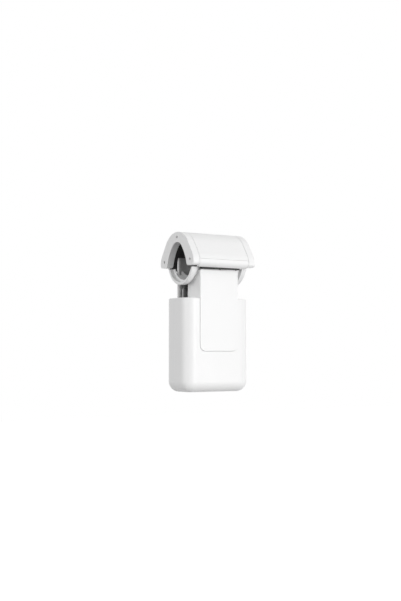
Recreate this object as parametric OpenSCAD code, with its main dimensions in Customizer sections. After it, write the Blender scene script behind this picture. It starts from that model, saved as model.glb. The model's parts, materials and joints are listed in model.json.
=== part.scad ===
// Curtain robot that hangs on a round rod.
// The rod's axis is the X axis and the origin is on it, at the middle of the hook.
// +X runs along the rod, -Y is the front with the long cover plate, +Z is up.

/* [Rod] */
// Diameter of the curtain rod
rod_d = 25; // [22:0.5:28]
// Gap between the rod and what lies on it
rod_play = 0.1; // [0.05:0.01:0.15]

/* [Hook] */
// Length of the hook along the rod, with both end caps
hook_len = 70.4; // [68:0.2:76]
// Length of one end cap along the rod
cap_len = 6.9; // [6:0.1:8]
// Height of the mouth's roof above the rod
roof_gap = 5.1; // [4.5:0.1:6]
// How much tighter the mouth's roof is curved than the rod
roof_tighter = 1.6; // [1:0.1:2]
// Radius of the mouth's long side curves
mouth_side_r = 44; // [40:1:50]
// Angle above level at which roof and side curves meet
mouth_turn = 42; // [38:1:46]
// Thickness of the hook above the mouth
crown_t = 9.8; // [9:0.2:12]
// Radius of the hook's crown
crown_r = 25; // [23:0.5:27]
// Radius of the hook's shoulders
shoulder_r = 15; // [13:0.5:17]
// Thickness of a leg at its foot
leg_t = 12; // [11:0.2:14]
// How far the legs reach below the rod's axis
leg_drop = 6.9; // [6:0.1:7.5]
// Radius of the legs' lower corners
leg_corner_r = 3.2; // [2:0.2:4]
// How much lower the cover's feet are than the legs
cover_drop = 0.6; // [0.2:0.1:0.8]
// Radius of the cover's lower corners
cover_corner_r = 5.4; // [4:0.2:6]
// How much higher the end caps' feet are than the legs
cap_lift = 0.8; // [0.2:0.1:1]
// Rounding of the end caps' outer edge
cap_edge_r = 1.2; // [0.5:0.1:1.6]
// Wall of the hook's cover
cover_wall = 2; // [1.6:0.1:2.4]
// Gap between the frame's lips, which show below the cover, and the top of the long plate
lip_gap = 0.5; // [0.3:0.1:1.5]
// Diameter of the screw recesses in the end caps
cap_recess_d = 2.6; // [2.2:0.1:3]
// Depth of the screw recesses in the end caps
cap_recess_depth = 1.3; // [1:0.1:1.8]
// Height of a leg's cap screw above the foot
leg_screw_up = 6.5; // [6:0.1:7]

/* [Rollers in the hook] */
// Radius of a roller at its waist
roller_waist_r = 3.9; // [3.5:0.1:4.2]
// Width of a roller
roller_w = 15; // [13:0.5:16]
// Distance of each roller from the hook's middle
roller_x = 18; // [17:0.5:18.5]
// Diameter of a roller's pin
roller_pin_d = 2.5; // [2:0.1:3]
// Length of the saddle pad between the rollers
saddle_len = 17; // [12:1:18]
// Angle that the saddle pad covers on each side of the top
saddle_half_angle = 62; // [58:1:66]
// Thickness of the saddle pad
saddle_t = 1.8; // [1.4:0.1:2]

/* [Guard rings] */
// Gap between the rod and a guard ring
ring_gap = 8.3; // [8:0.1:9]
// Wall of a guard ring
ring_wall = 2.6; // [2.2:0.1:3]
// Width of a guard ring along the rod
ring_w = 5.3; // [4.8:0.1:6]
// Distance of a ring's outer face from the hook's end
ring_inset = 4; // [3:0.2:4.4]
// Gap between a ring's tips and the hook's feet
ring_tip_gap = 0.4; // [0.3:0.1:1]
// Depth of the web between a ring and the neck
web_t = 3.1; // [2.8:0.1:3.4]

/* [Neck] */
// Height of the neck from the rod to the box
neck_h = 23.9; // [23.4:0.1:28]
// Width of the neck along the rod
neck_w = 43.2; // [42.4:0.2:44]
// Wall of the neck
neck_wall = 2; // [1.6:0.1:2.2]
// Thickness of the neck's front wall
neck_front_t = 1.8; // [1.6:0.1:2]
// Where the neck ends behind the rod's axis
neck_rear = 1.5; // [1:0.1:2]
// Gap between the rod and the cradle's hollow top
cradle_gap = 1.7; // [1.4:0.1:2]
// Outer radius of the wheel cradle around the rod's axis
cradle_r = 21; // [20.5:0.1:21.4]
// Gap between the cradle and the steel arm
cradle_arm_gap = 1.2; // [1:0.1:1.4]

/* [Front plate] */
// Height of the plate
plate_h = 78.2; // [70:0.2:84]
// Thickness of the plate
plate_t = 2; // [1.8:0.1:2.2]
// How far the plate stands in front of the box
plate_proud = 0.7; // [0.4:0.1:0.9]
// Radius of the plate's lower corners
plate_corner_r = 6; // [3:0.5:10]
// Radius of the plate's upper corners
plate_top_r = 1.5; // [1:0.1:3]
// Height of the plate's top above the rod's lowest line
plate_rise = 3.3; // [2.6:0.1:3.6]
// Gap all round the plate in its recess
plate_gap = 0.2; // [0.1:0.05:0.3]
// Width of the ledge that the plate's edge lies on
plate_ledge = 1.8; // [1.4:0.1:2.2]

/* [Box] */
// Width of the box
body_w = 75; // [70:0.5:84]
// Depth of the box
body_d = 40; // [38:0.5:44]
// Height of the box
body_h = 89.9; // [89:0.1:96]
// Share of the box's depth that lies in front of the rod's axis
front_share = 0.5125; // [0.505:0.0025:0.52]
// Radius of the upright corners
corner_r = 12; // [8:0.5:13]
// Radius of the rounding round the foot
foot_r = 10; // [6:0.5:10]
// Radius of the rounding round the top
brow_r = 1.2; // [0.6:0.1:1.6]
// Wall of the box
wall = 1.8; // [1.5:0.1:2]

/* [Steel arm] */
// Width of the arm
arm_w = 48.6; // [46:0.2:49]
// Thickness of the arm
arm_t = 2; // [1.6:0.1:2]
// Gap between the arm and the box's rear wall
arm_back_gap = 0.5; // [0.3:0.1:0.6]
// Height of the arm's foot above the box's foot
arm_foot_up = 26.3; // [24:0.1:30]
// Width of a pressed rib
rib_w = 6.4; // [5:0.2:7]
// Height of a pressed rib
rib_h = 0.8; // [0.4:0.1:0.8]
// Distance of each rib from the arm's middle
rib_x = 16.3; // [16:0.1:18]
// Distance from the ribs' round tops down to the box
rib_top_up = 12.4; // [8:0.2:13]
// How far the hook can be pulled away from the box
hook_travel = 26; // [20:0.5:27]

/* [Gears] */
// Pitch diameter of the wheel's gear
wheel_gear_d = 21; // [20.7:0.1:21.3]
// Teeth on the wheel's gear
wheel_teeth = 30; // [30:1:31]
// Teeth on the double gears' small sides
small_teeth = 14; // [14:1:15]
// Teeth on the first double gear's large side
first_teeth = 40; // [38:2:42]
// Teeth on the second double gear's large side
second_teeth = 32; // [30:2:34]
// Teeth on the motor's pinion
pinion_teeth = 12; // [12:1:13]
// Gap between gears that pass each other
gear_gap = 0.4; // [0.3:0.05:0.5]
// Diameter of the double gears' fixed pins
gear_pin_d = 2; // [1.8:0.1:2.4]

/* [Drive wheel] */
// Radius of the tyre at its waist
tyre_waist_r = 9; // [8.6:0.1:9.2]
// Width of the wheel
wheel_w = 15; // [14:0.5:15]
// Radius of the hub under the tyre
hub_r = 6; // [5:0.1:7]
// Diameter of the wheel's shaft
shaft_d = 4; // [3:0.1:4.2]
// Outer radius of the shaft's bushes
bush_r = 3.5; // [3.2:0.1:3.8]

/* [Motor and battery] */
// Diameter of the motor
motor_d = 24; // [20:0.5:24.4]
// Gap between the motor and the steel arm
motor_gap = 1.6; // [1.5:0.1:2.4]
// Gap between a battery cell and the box's side wall
cell_gap = 0.5; // [0.3:0.1:0.8]
// Gap between a battery cell and the gear case
cell_gear_gap = 0.14; // [0.1:0.02:0.3]
// Height of the cells' feet above the box's foot
cell_foot_up = 8.8; // [8.4:0.1:10]
// Room between the cells and the box's top
cell_top_room = 16.1; // [15:0.1:20]

/* [Button and port] */
// Diameter of the pairing button
button_d = 8; // [6:0.5:9]
// Travel of the pairing button
button_travel = 0.6; // [0.4:0.1:0.8]
// Height of the button above the box's foot
button_up = 15.3; // [14.5:0.1:16]
// How far the button stands out of the box
button_proud = 0.5; // [0.3:0.1:0.7]
// Width of the charging port
port_w = 8.9; // [8.9:0.05:9.1]
// Thickness of the charging port
port_t = 3.2; // [3.1:0.05:3.3]

/* [Hidden] */

// Fineness of curves
$fn = 96;
// How far a cut runs past a face
over = 1;
// Radial play of a pin in the piece that it turns in
run_play = 0.05;
// Gap between fixed pieces that are put together
fit_gap = 0.15;
// Gap round a screw, lip or pin in the hole that it passes
slip_gap = 0.1;
// Gap round a piece that is pressed into its hole
press_gap = 0.02;
// Radius of the small screws' threads, and of the holes that they are driven into
thread_r = 0.8;
pilot_r = thread_r + 0.05;

// Half the mouth's width at a height below its roof
function mouth_half(z) = side_c[0] + sqrt(pow(mouth_side_r, 2) - pow(z - side_c[1], 2));

// Rod and mouth
rod_r = rod_d / 2;
grip_r = rod_r + rod_play;
roof_z = rod_r + roof_gap;
roof_r = rod_r - roof_tighter;
roof_c = roof_z - roof_r;
side_c = [-(mouth_side_r - roof_r) * cos(mouth_turn), roof_c - (mouth_side_r - roof_r) * sin(mouth_turn)];
mouth_turn_z = roof_c + roof_r * sin(mouth_turn);
foot_z = -leg_drop;
mouth_foot_y = mouth_half(foot_z);

// Outer outline of the hook
hook_half = mouth_foot_y + leg_t;
hook_top = roof_z + crown_t;
crown_c = [0, hook_top - crown_r];
shoulder_c = [hook_half - shoulder_r, foot_z + 4];
crown_to_shoulder = shoulder_c - crown_c;
slope_angle = atan2(crown_to_shoulder[1], crown_to_shoulder[0])
    + acos((crown_r - shoulder_r) / norm(crown_to_shoulder));
cover_len = hook_len - 2 * cap_len;
frame_len = cover_len - 2 * fit_gap;
cap_screws = [
    [0, roof_z + 4.7],
    [mouth_foot_y + leg_t * 0.43, foot_z + leg_screw_up],
    [-(mouth_foot_y + leg_t * 0.43), foot_z + leg_screw_up]
];
cap_screw_r = 0.75;
cap_screw_len = 4.2;

// Rollers in the hook
roller_z = grip_r + roller_waist_r;
roller_rim_r = roller_z - sqrt(pow(grip_r, 2) - pow(roller_w / 2, 2)) - 0.2;
roller_side_gap = 0.5;
roller_pin_grip = 2.5;

// Box
body_top = -(rod_r + neck_h);
body_bottom = body_top - body_h;
body_front = body_d * front_share;
body_mid_y = body_d / 2 - body_front;
body_back = body_d - body_front;
inner_back = body_back - wall;
inner_w = body_w - 2 * wall;

// Steel arm
arm_out = inner_back - arm_back_gap;
arm_in = arm_out - arm_t;
arm_top = 9;
arm_foot = body_bottom + arm_foot_up;
tab_w = 9;
tab_x = arm_w / 2 - tab_w / 2;
slot_gap = 0.3;
arm_screw_x = 12;
arm_screw_z = 6;
arm_screw_r = 1;
arm_screw_sink = 1.2;
frame_shoulder_r = shoulder_r - cover_wall - fit_gap;
arm_screw_head_y = shoulder_c[0] - arm_screw_sink
    + sqrt(pow(frame_shoulder_r, 2) - pow(arm_screw_z + arm_screw_r - shoulder_c[1], 2));

// Guide of the arm in the top of the box
guide_w = arm_w + 2.2;
guide_front = arm_in - rib_h - 1.4;
guide_lip = 0.6;
guide_depth = 5;
guide_lip_w = 0.9;

// Guard rings
ring_in_r = rod_r + ring_gap;
ring_out_r = ring_in_r + ring_wall;
ring_face = hook_len / 2 - ring_inset;
web_in_r = ring_in_r - web_t + 0.7;
web_out_r = ring_in_r + 0.7;
web_bite = 1.1;
ring_tip_z = foot_z - ring_tip_gap;
peg_r = 1;
peg_len = 1.2;
peg_ring_r = (web_in_r + web_out_r) / 2;
peg_angles = [-120, -73];

// Plate, neck and cradle
plate_top = -(rod_r - plate_rise);
plate_front = -(body_front + plate_proud);
plate_back = plate_front + plate_t;
plate_foot = plate_top - plate_h;
neck_top = plate_top - 0.6;
lip_foot = plate_top + lip_gap;
lip_w = neck_w - 4 * fit_gap;
lip_mouth_gap = 0.6;
lip_in = mouth_foot_y + lip_mouth_gap;
cover_turn_in = 0.3;
lip_out = hook_half - cover_corner_r - cover_turn_in - fit_gap;
neck_inner_w = neck_w - 2 * neck_wall;
hollow_r = rod_r + cradle_gap;
tub_foot_gap = 1.4;
cradle_rear = arm_in - cradle_arm_gap;

// Gear train: layer A is next to the wheel, layer B in front of it
gear_m = wheel_gear_d / wheel_teeth;
wheel_z = -(grip_r + tyre_waist_r);
first_z = wheel_z - gear_m * (wheel_teeth + small_teeth) / 2;
second_z = first_z - gear_m * (first_teeth + small_teeth) / 2;
motor_z = second_z - gear_m * (second_teeth + pinion_teeth) / 2;
wheel_side_gap = 0.5;
plate_thick = 2.6;
gear_plate_rear = -(wheel_w / 2 + wheel_side_gap);
gear_plate_front = gear_plate_rear - plate_thick;
front_in = plate_back + neck_front_t;
gear_t = (gear_plate_front - front_in - 3 * gear_gap) / 2;
layer_a_rear = gear_plate_front - gear_gap;
layer_a_front = layer_a_rear - gear_t;
layer_b_rear = layer_a_front - gear_gap;
layer_b_front = layer_b_rear - gear_t;
tooth_add = 0.8;
tooth_root = 1.1;
tooth_play = 0.12;
pressure_angle = 20;
large_r = gear_m * (max(first_teeth, second_teeth) / 2 + tooth_add);
tub_in = large_r + 0.6;
tub_wall = 1.6;
tub_out = tub_in + tub_wall;
tub_foot = motor_z - motor_d / 2 - tub_foot_gap;
pin_sink = 0.9;

// Drive wheel
rim_r = (tyre_waist_r + grip_r) - sqrt(pow(grip_r, 2) - pow(wheel_w / 2, 2)) - 0.3;
shaft_r = shaft_d / 2;
boss_front = wheel_w / 2 + 1.1;
boss_r = bush_r + 2.8;
cradle_open_x = rim_r + 1;
cradle_open_y = wheel_w / 2 + 0.7;
rear_bush_front = boss_front + 0.4;
cradle_screw_x = neck_inner_w / 2 - 2.6;
cradle_screw_z = -(cradle_r * 0.8);
cradle_screw_r = 1;
cradle_screw_bite = 7;
cradle_head_r = 1.8;
cradle_head_t = 1.5;
cradle_head_sink = 1.4;
post_half = 2.4;
post_x = neck_inner_w / 2 - post_half + 0.2;

// Motor
motor_r = motor_d / 2;
motor_back = arm_in - motor_gap;
end_cap_t = 2;
motor_shaft_r = 1;
motor_nose_r = 3;
terminal_x = 3.4;
lead_r = 0.55;
lead_y = motor_back + 0.9;

// Battery and chassis
board_t = 1.6;
board_room = 4;
board_back = arm_in - board_room;
board_front = board_back - board_t;
board_post_len = 3.45;
chassis_t = 1.6;
chassis_back = board_front - board_post_len;
chassis_front = chassis_back - chassis_t;
cell_rest_gap = 0.4;
cell_r = (inner_w / 2 - tub_out - cell_gap - cell_gear_gap) / 2;
cell_y = chassis_front - cell_rest_gap - cell_r;
cell_x = inner_w / 2 - cell_r - cell_gap;
cell_foot = body_bottom + cell_foot_up;
cell_top = body_top - cell_top_room;
cell_cap_h = 1;
contact_t = 0.4;
contact_half = 4;
tab_front = chassis_back + 0.65;
chassis_w = inner_w - 2.6;
chassis_foot = body_bottom + wall + 0.2;
spring_foot = arm_foot + arm_t;
spring_pressed = 23;
lug_t = 2.5;
lug_z = spring_foot + hook_travel + spring_pressed;
chassis_top = max(cell_top + 6, lug_z + lug_t);
holder_t = 1.5;
holder_half = 7;
holder_up = contact_t + 0.1;
lug_w = 8;
lug_back = arm_in - 1.2;
stop_t = 2;
stop_gap = 0.2;
spring_r = 3.6;
spring_wire = 0.7;
spring_pin_r = spring_r - spring_wire - 0.4;
spring_pin_h = 5;
spring_y = arm_in - 4.9;
foot_block_x = 21;
foot_block_w = 8;
foot_block_h = 5;
foot_block_front = cell_y - 4;
foot_block_top = chassis_foot + foot_block_h;
body_screw_ys = [foot_block_front + 3, chassis_front + chassis_t / 2];
body_screw_r = 1;
body_screw_head_r = 2;
body_screw_sink = 0.9;
body_screw_head_t = 0.7;

// Board, port, switch and button
board_w = 2 * (tab_x - tab_w / 2 - 0.9);
board_post_x = board_w / 2 - 3;
board_post_r = 1.8;
board_post_up = 4;
port_y = board_front - port_t / 2;
port_sink = 0.2;
tongue_t = 0.7;
board_foot = body_bottom + 5.3;
board_top = tub_foot - 1.6;
port_deep = 7.6;
port_wall = 0.3;
radio_w = 10;
radio_h = 12;
radio_in = 1.4;
radio_z = board_top - 22;
chip_w = 5;
chip_in = 3.4;
coil_w = 6;
button_z = body_bottom + button_up;
button_r = button_d / 2;
button_flange_r = button_r + 1.2;
button_flange_t = 1;
button_skin = inner_back - button_travel * 0.5;
switch_half = 3;
switch_back = board_back + 3.4;
plunger_r = 1.6;
plunger_out = 1;
plunger_in = 1;
pipe_x = board_w / 2 - 5.4;
pipe_r = 1.2;
light_half = 0.8;

// Puts a flat outline drawn as (Y, Z) upright and runs it along X
module along_x(x0, x1) {
    translate([x0, 0, 0])
        rotate([90, 0, 90])
            linear_extrude(x1 - x0)
                children();
}

// Puts a flat outline drawn as (X, Z) upright and runs it along Y
module along_y(y0, y1) {
    translate([0, y1, 0])
        rotate([90, 0, 0])
            linear_extrude(y1 - y0)
                children();
}

// Box from its two corners
module block(low, high) {
    translate(low)
        cube(high - low);
}

// Round bar along X
module bar_x(r, x0, x1, y, z) {
    translate([x0, y, z])
        rotate([0, 90, 0])
            cylinder(r = r, h = x1 - x0);
}

// Round bar along Y
module bar_y(r, y0, y1, x, z) {
    translate([x, y1, z])
        rotate([90, 0, 0])
            cylinder(r = r, h = y1 - y0);
}

// Round bar along Z
module bar_z(r, z0, z1, x, y) {
    translate([x, y, z0])
        cylinder(r = r, h = z1 - z0);
}

// What is cut away to round a corner whose tip is at the origin
module corner_cut(r) {
    difference() {
        translate([-over, -over])
            square(r + over);
        translate([r, r])
            circle(r);
    }
}

// Rectangle with its own radius at the upper and at the lower corners
module plate_outline(w, z0, z1, low_r, high_r) {
    difference() {
        translate([-w / 2, z0])
            square([w, z1 - z0]);
        for (s = [0, 1])
            mirror([s, 0]) {
                translate([-w / 2, z0])
                    corner_cut(low_r);
                translate([-w / 2, z1])
                    mirror([0, 1])
                        corner_cut(high_r);
            }
    }
}

// Upright edge of the box, from its middle out to x
module edge_profile(x, h, low_r, high_r) {
    difference() {
        square([x, h]);
        translate([x, 0])
            mirror([1, 0])
                corner_cut(low_r);
        translate([x, h])
            rotate(180)
                corner_cut(high_r);
    }
}

// Box with round upright corners and rounded foot and top, its foot at z = 0
module rounded_box(w, d, h, upright_r, low_r, high_r) {
    cx = w / 2 - upright_r;
    cy = d / 2 - upright_r;
    for (sx = [-1, 1])
        for (sy = [-1, 1])
            translate([sx * cx, sy * cy, 0])
                rotate_extrude()
                    edge_profile(upright_r, h, low_r, high_r);
    for (s = [0, 1]) {
        mirror([s, 0, 0])
            along_y(-cy, cy)
                translate([cx, 0])
                    edge_profile(upright_r, h, low_r, high_r);
        mirror([0, s, 0])
            along_x(-cx, cx)
                translate([cy, 0])
                    edge_profile(upright_r, h, low_r, high_r);
    }
    block([-cx, -cy, 0], [cx, cy, h]);
}

// The hook's outer outline as (Y, Z), drawn in by inset, without its mouth.
// Its feet lie drop below the legs' feet and have a corner radius of their own.
module hook_outline(inset, drop, corner) {
    crown = crown_r - inset;
    shoulder = shoulder_r - inset;
    turn = [cos(slope_angle), sin(slope_angle)];
    low = foot_z - drop + inset;
    half = hook_half - inset;
    difference() {
        intersection() {
            union() {
                translate(crown_c)
                    circle(crown);
                for (s = [0, 1])
                    mirror([s, 0]) {
                        translate(shoulder_c)
                            circle(shoulder);
                        polygon([
                            [0, low],
                            [half, low],
                            [half, shoulder_c[1]],
                            shoulder_c + shoulder * turn,
                            crown_c + crown * turn,
                            [0, crown_c[1] + crown * sin(slope_angle)]
                        ]);
                    }
            }
            translate([-2 * hook_half, low])
                square([4 * hook_half, 2 * hook_top]);
        }
        for (s = [0, 1])
            mirror([s, 0])
                translate([-half, low])
                    corner_cut(max(corner - inset, 0.4));
    }
}

// The hook's mouth as (Y, Z)
module mouth() {
    intersection() {
        translate(side_c)
            circle(mouth_side_r);
        translate([-side_c[0], side_c[1]])
            circle(mouth_side_r);
        translate([-2 * hook_half, -2 * hook_half])
            square([4 * hook_half, 2 * hook_half + mouth_turn_z]);
    }
    translate([0, roof_c])
        circle(roof_r);
}

// Cuts that round the inner corners of feet that end at height z
module foot_cuts(z) {
    for (s = [0, 1])
        mirror([s, 0])
            translate([mouth_half(z), z])
                corner_cut(leg_corner_r);
}

// The frame's feet as (Y, Z), which close the cover from below, with a gap beside them
module frame_feet(foot, gap) {
    for (s = [0, 1])
        mirror([s, 0])
            translate([mouth_foot_y - over, foot])
                square([lip_out + gap - mouth_foot_y + over, cover_wall + fit_gap + 2 * over]);
}

// What the cover and the frame in it fill together, as (Y, Z), drawn in by inset
module cover_outline(inset) {
    hook_outline(inset, cover_drop, cover_corner_r);
}

module hook_cover() {
    color("white")
        along_x(-cover_len / 2, cover_len / 2)
            difference() {
                cover_outline(0);
                cover_outline(cover_wall);
                mouth();
                frame_feet(foot_z - cover_drop - over, fit_gap);
            }
}

// Right end cap, its outer face at the hook's end
module end_cap() {
    outer = hook_len / 2;
    difference() {
        hull() {
            along_x(cover_len / 2, outer - cap_edge_r)
                hook_outline(0, -cap_lift, leg_corner_r);
            along_x(outer - cap_edge_r, outer - cap_edge_r * 0.4)
                hook_outline(cap_edge_r * 0.25, -cap_lift, leg_corner_r);
            along_x(outer - cap_edge_r, outer)
                hook_outline(cap_edge_r * 0.8, -cap_lift, leg_corner_r);
        }
        along_x(cover_len / 2 - over, outer + over)
            union() {
                mouth();
                foot_cuts(foot_z + cap_lift);
            }
        for (p = cap_screws) {
            bar_x(cap_screw_r + slip_gap, cover_len / 2 - over, outer + over, p[0], p[1]);
            bar_x(cap_recess_d / 2, outer - cap_recess_depth - 1.1, outer + over, p[0], p[1]);
        }
    }
}

module hook_end_cap_left() {
    color("white")
        mirror([1, 0, 0])
            end_cap();
}

module hook_end_cap_right() {
    color("white")
        end_cap();
}

module end_cap_screws() {
    head_out = hook_len / 2 - cap_recess_depth;
    color("dimgray")
        for (s = [0, 1])
            mirror([s, 0, 0])
                for (p = cap_screws) {
                    bar_x(cap_recess_d / 2 - 0.1, head_out - 1, head_out, p[0], p[1]);
                    bar_x(cap_screw_r, head_out - cap_len - 1.2, head_out - 1, p[0], p[1]);
                }
}

module hook_frame() {
    pocket_x = roller_rim_r + 1;
    pocket_y = roller_w / 2 + roller_side_gap;
    pocket_top = roller_z + roller_rim_r + 0.7;
    pin_end = roller_w / 2 + roller_side_gap + roller_pin_grip;
    color("dimgray")
        difference() {
            union() {
                along_x(-frame_len / 2, frame_len / 2)
                    difference() {
                        union() {
                            cover_outline(cover_wall + fit_gap);
                            frame_feet(foot_z, 0);
                        }
                        mouth();
                        foot_cuts(foot_z);
                    }
                for (s = [0, 1])
                    mirror([0, s, 0])
                        block([-lip_w / 2, lip_in, lip_foot], [lip_w / 2, lip_out, foot_z + leg_corner_r]);
            }
            for (s = [-1, 1]) {
                block([s * roller_x - pocket_x, -pocket_y, 0],
                    [s * roller_x + pocket_x, pocket_y, pocket_top]);
                bar_y(roller_pin_d / 2 + press_gap, -pin_end, pin_end, s * roller_x, roller_z);
                bar_y(arm_screw_r + slip_gap, arm_in - over, hook_half, s * arm_screw_x, arm_screw_z);
            }
            block([-arm_w / 2 - slot_gap, arm_in - slot_gap, foot_z - over],
                [arm_w / 2 + slot_gap, arm_out + slot_gap, arm_top + slot_gap]);
            for (s = [0, 1])
                mirror([s, 0, 0])
                    for (p = cap_screws)
                        bar_x(cap_screw_r + 0.05, frame_len / 2 - cap_screw_len, hook_len / 2, p[0], p[1]);
        }
}

module rod_saddle() {
    pad_r = grip_r + saddle_t;
    rim = [for (a = [-1, 1]) [2 * pad_r * sin(a * saddle_half_angle), 2 * pad_r * cos(saddle_half_angle)]];
    color("black")
        along_x(-saddle_len / 2, saddle_len / 2)
            difference() {
                union() {
                    intersection() {
                        circle(pad_r);
                        polygon([[0, 0], rim[1], [0, 4 * pad_r], rim[0]]);
                    }
                    intersection() {
                        translate([-roof_r * 0.62, grip_r * 0.6])
                            square([roof_r * 1.24, roof_z]);
                        mouth();
                    }
                }
                circle(grip_r);
            }
}

// Wheel with a waist that fits the rod, lying along Y round z
module waisted_wheel(waist_r, rim, bore_r, w, z) {
    translate([0, 0, z])
        rotate([90, 0, 0])
            rotate_extrude()
                difference() {
                    translate([bore_r, -w / 2])
                        square([rim - bore_r, w]);
                    translate([waist_r + grip_r, 0])
                        circle(grip_r);
                }
}

module idler_roller(side) {
    color("black")
        translate([side * roller_x, 0, 0])
            waisted_wheel(roller_waist_r, roller_rim_r, roller_pin_d / 2 + run_play, roller_w, roller_z);
}

module idler_roller_left() {
    idler_roller(-1);
}

module idler_roller_right() {
    idler_roller(1);
}

module idler_axles() {
    pin_end = roller_w / 2 + roller_side_gap + roller_pin_grip - 0.2;
    color("silver")
        for (s = [-1, 1])
            bar_y(roller_pin_d / 2, -pin_end, pin_end, s * roller_x, roller_z);
}

module hook_arm() {
    rib_top = body_top + rib_top_up - rib_w / 2;
    rib_foot = arm_foot + 8;
    color("lightgray")
        difference() {
            union() {
                block([-arm_w / 2, arm_in, arm_foot], [arm_w / 2, arm_out, arm_top]);
                for (s = [-1, 1]) {
                    block([s * rib_x - rib_w / 2, arm_in - rib_h, rib_foot],
                        [s * rib_x + rib_w / 2, arm_in + 0.5, rib_top]);
                    for (z = [rib_foot, rib_top])
                        bar_y(rib_w / 2, arm_in - rib_h, arm_in + 0.5, s * rib_x, z);
                    block([s * tab_x - tab_w / 2, tab_front, arm_foot],
                        [s * tab_x + tab_w / 2, arm_in + 0.5, arm_foot + arm_t]);
                    bar_z(spring_pin_r, arm_foot + 0.5, spring_foot + spring_pin_h, s * tab_x, spring_y);
                }
            }
            for (s = [-1, 1])
                bar_y(pilot_r, arm_in - over, arm_out + over, s * arm_screw_x, arm_screw_z);
        }
}

module arm_screws() {
    color("dimgray")
        for (s = [-1, 1]) {
            bar_y(arm_screw_r, arm_out + 0.05, arm_screw_head_y, s * arm_screw_x, arm_screw_z);
            bar_y(thread_r, arm_in, arm_screw_head_y - 0.5, s * arm_screw_x, arm_screw_z);
        }
}

module return_springs() {
    color("gray")
        for (s = [-1, 1])
            difference() {
                bar_z(spring_r, spring_foot, lug_z, s * tab_x, spring_y);
                bar_z(spring_r - spring_wire, spring_foot - over, lug_z + over, s * tab_x, spring_y);
            }
}

// Right guard ring
module guard_ring() {
    web_end = arm_in - rib_h - 0.6;
    difference() {
        union() {
            bar_x(ring_out_r, ring_face - ring_w, ring_face, 0, 0);
            bar_x(web_out_r, neck_w / 2, ring_face - ring_w + web_bite, 0, 0);
        }
        bar_x(ring_in_r, ring_face - ring_w + web_bite, ring_face + over, 0, 0);
        bar_x(web_in_r, 0, ring_face, 0, 0);
        block([0, -2 * ring_out_r, ring_tip_z], [2 * ring_face, 2 * ring_out_r, 2 * ring_out_r]);
        block([0, web_end, -2 * ring_out_r], [ring_face - ring_w, 2 * ring_out_r, ring_out_r]);
    }
    for (a = peg_angles)
        bar_x(peg_r, neck_w / 2 - peg_len, neck_w / 2 + 0.5, peg_ring_r * cos(a), peg_ring_r * sin(a));
}

module guard_ring_left() {
    color("white")
        mirror([1, 0, 0])
            guard_ring();
}

module guard_ring_right() {
    color("white")
        guard_ring();
}

// Holes in the neck's sides for the rings' pegs
module peg_holes() {
    for (s = [0, 1])
        mirror([s, 0, 0])
            for (a = peg_angles)
                bar_x(peg_r + 0.05, neck_w / 2 - peg_len - 0.1, neck_w / 2 + over,
                    peg_ring_r * cos(a), peg_ring_r * sin(a));
}

// Posts for the cradle's screws, wider by gap all round
module cradle_posts(gap, y0, y1) {
    half = post_half + gap;
    for (x = [-post_x, post_x])
        block([x - half, y0, cradle_screw_z - half], [x + half, y1, cradle_screw_z + half]);
}

module neck_housing() {
    color("white")
        difference() {
            union() {
                block([-neck_w / 2, plate_back, body_top], [neck_w / 2, neck_rear, neck_top]);
                block([-tub_out, plate_back, tub_foot], [tub_out, gear_plate_front, body_top]);
            }
            difference() {
                block([-neck_inner_w / 2, front_in, body_top - over],
                    [neck_inner_w / 2, neck_rear + over, 0]);
                cradle_posts(0, neck_rear - cradle_screw_bite - 1, neck_rear);
            }
            block([-tub_in, front_in, tub_foot + tub_wall],
                [tub_in, gear_plate_front + over, body_top + over]);
            for (x = [-cradle_screw_x, cradle_screw_x])
                bar_y(pilot_r, neck_rear - cradle_screw_bite, neck_rear + over, x, cradle_screw_z);
            for (z = [first_z, second_z])
                bar_y(gear_pin_d / 2 + press_gap, front_in - pin_sink, front_in + over, 0, z);
            bar_x(hollow_r, -neck_w, neck_w, 0, 0);
            peg_holes();
        }
}

module wheel_cradle() {
    head_y = cradle_rear - cradle_head_sink;
    color("silver")
        difference() {
            union() {
                along_x(-neck_w / 2, neck_w / 2)
                    intersection() {
                        circle(cradle_r);
                        translate([neck_rear, -2 * cradle_r])
                            square([cradle_rear - neck_rear, 2 * cradle_r + neck_top]);
                    }
                bar_y(boss_r, boss_front, cradle_rear, 0, wheel_z);
                block([-boss_r, boss_front, wheel_z], [boss_r, cradle_rear, neck_top - 4]);
            }
            bar_x(hollow_r, -neck_w, neck_w, 0, 0);
            block([-cradle_open_x, neck_rear - over, wheel_z - cradle_r],
                [cradle_open_x, cradle_open_y, 0]);
            bar_y(bush_r + press_gap, 0, cradle_rear - 0.6, 0, wheel_z);
            for (s = [-1, 1]) {
                bar_y(cradle_screw_r + slip_gap, 0, cradle_rear + over, s * cradle_screw_x, cradle_screw_z);
                bar_y(cradle_head_r + 0.2, head_y - cradle_head_t - slip_gap, cradle_rear + over,
                    s * cradle_screw_x, cradle_screw_z);
            }
            peg_holes();
        }
}

module cradle_screws() {
    head_y = cradle_rear - cradle_head_sink;
    color("dimgray")
        for (s = [-1, 1]) {
            bar_y(cradle_head_r, head_y - cradle_head_t, head_y, s * cradle_screw_x, cradle_screw_z);
            bar_y(thread_r, neck_rear - cradle_screw_bite + 1, head_y - cradle_head_t,
                s * cradle_screw_x, cradle_screw_z);
        }
}

module front_plate() {
    color("white")
        along_y(plate_front, plate_back)
            plate_outline(neck_w, plate_foot, plate_top, plate_corner_r, plate_top_r);
}

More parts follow.
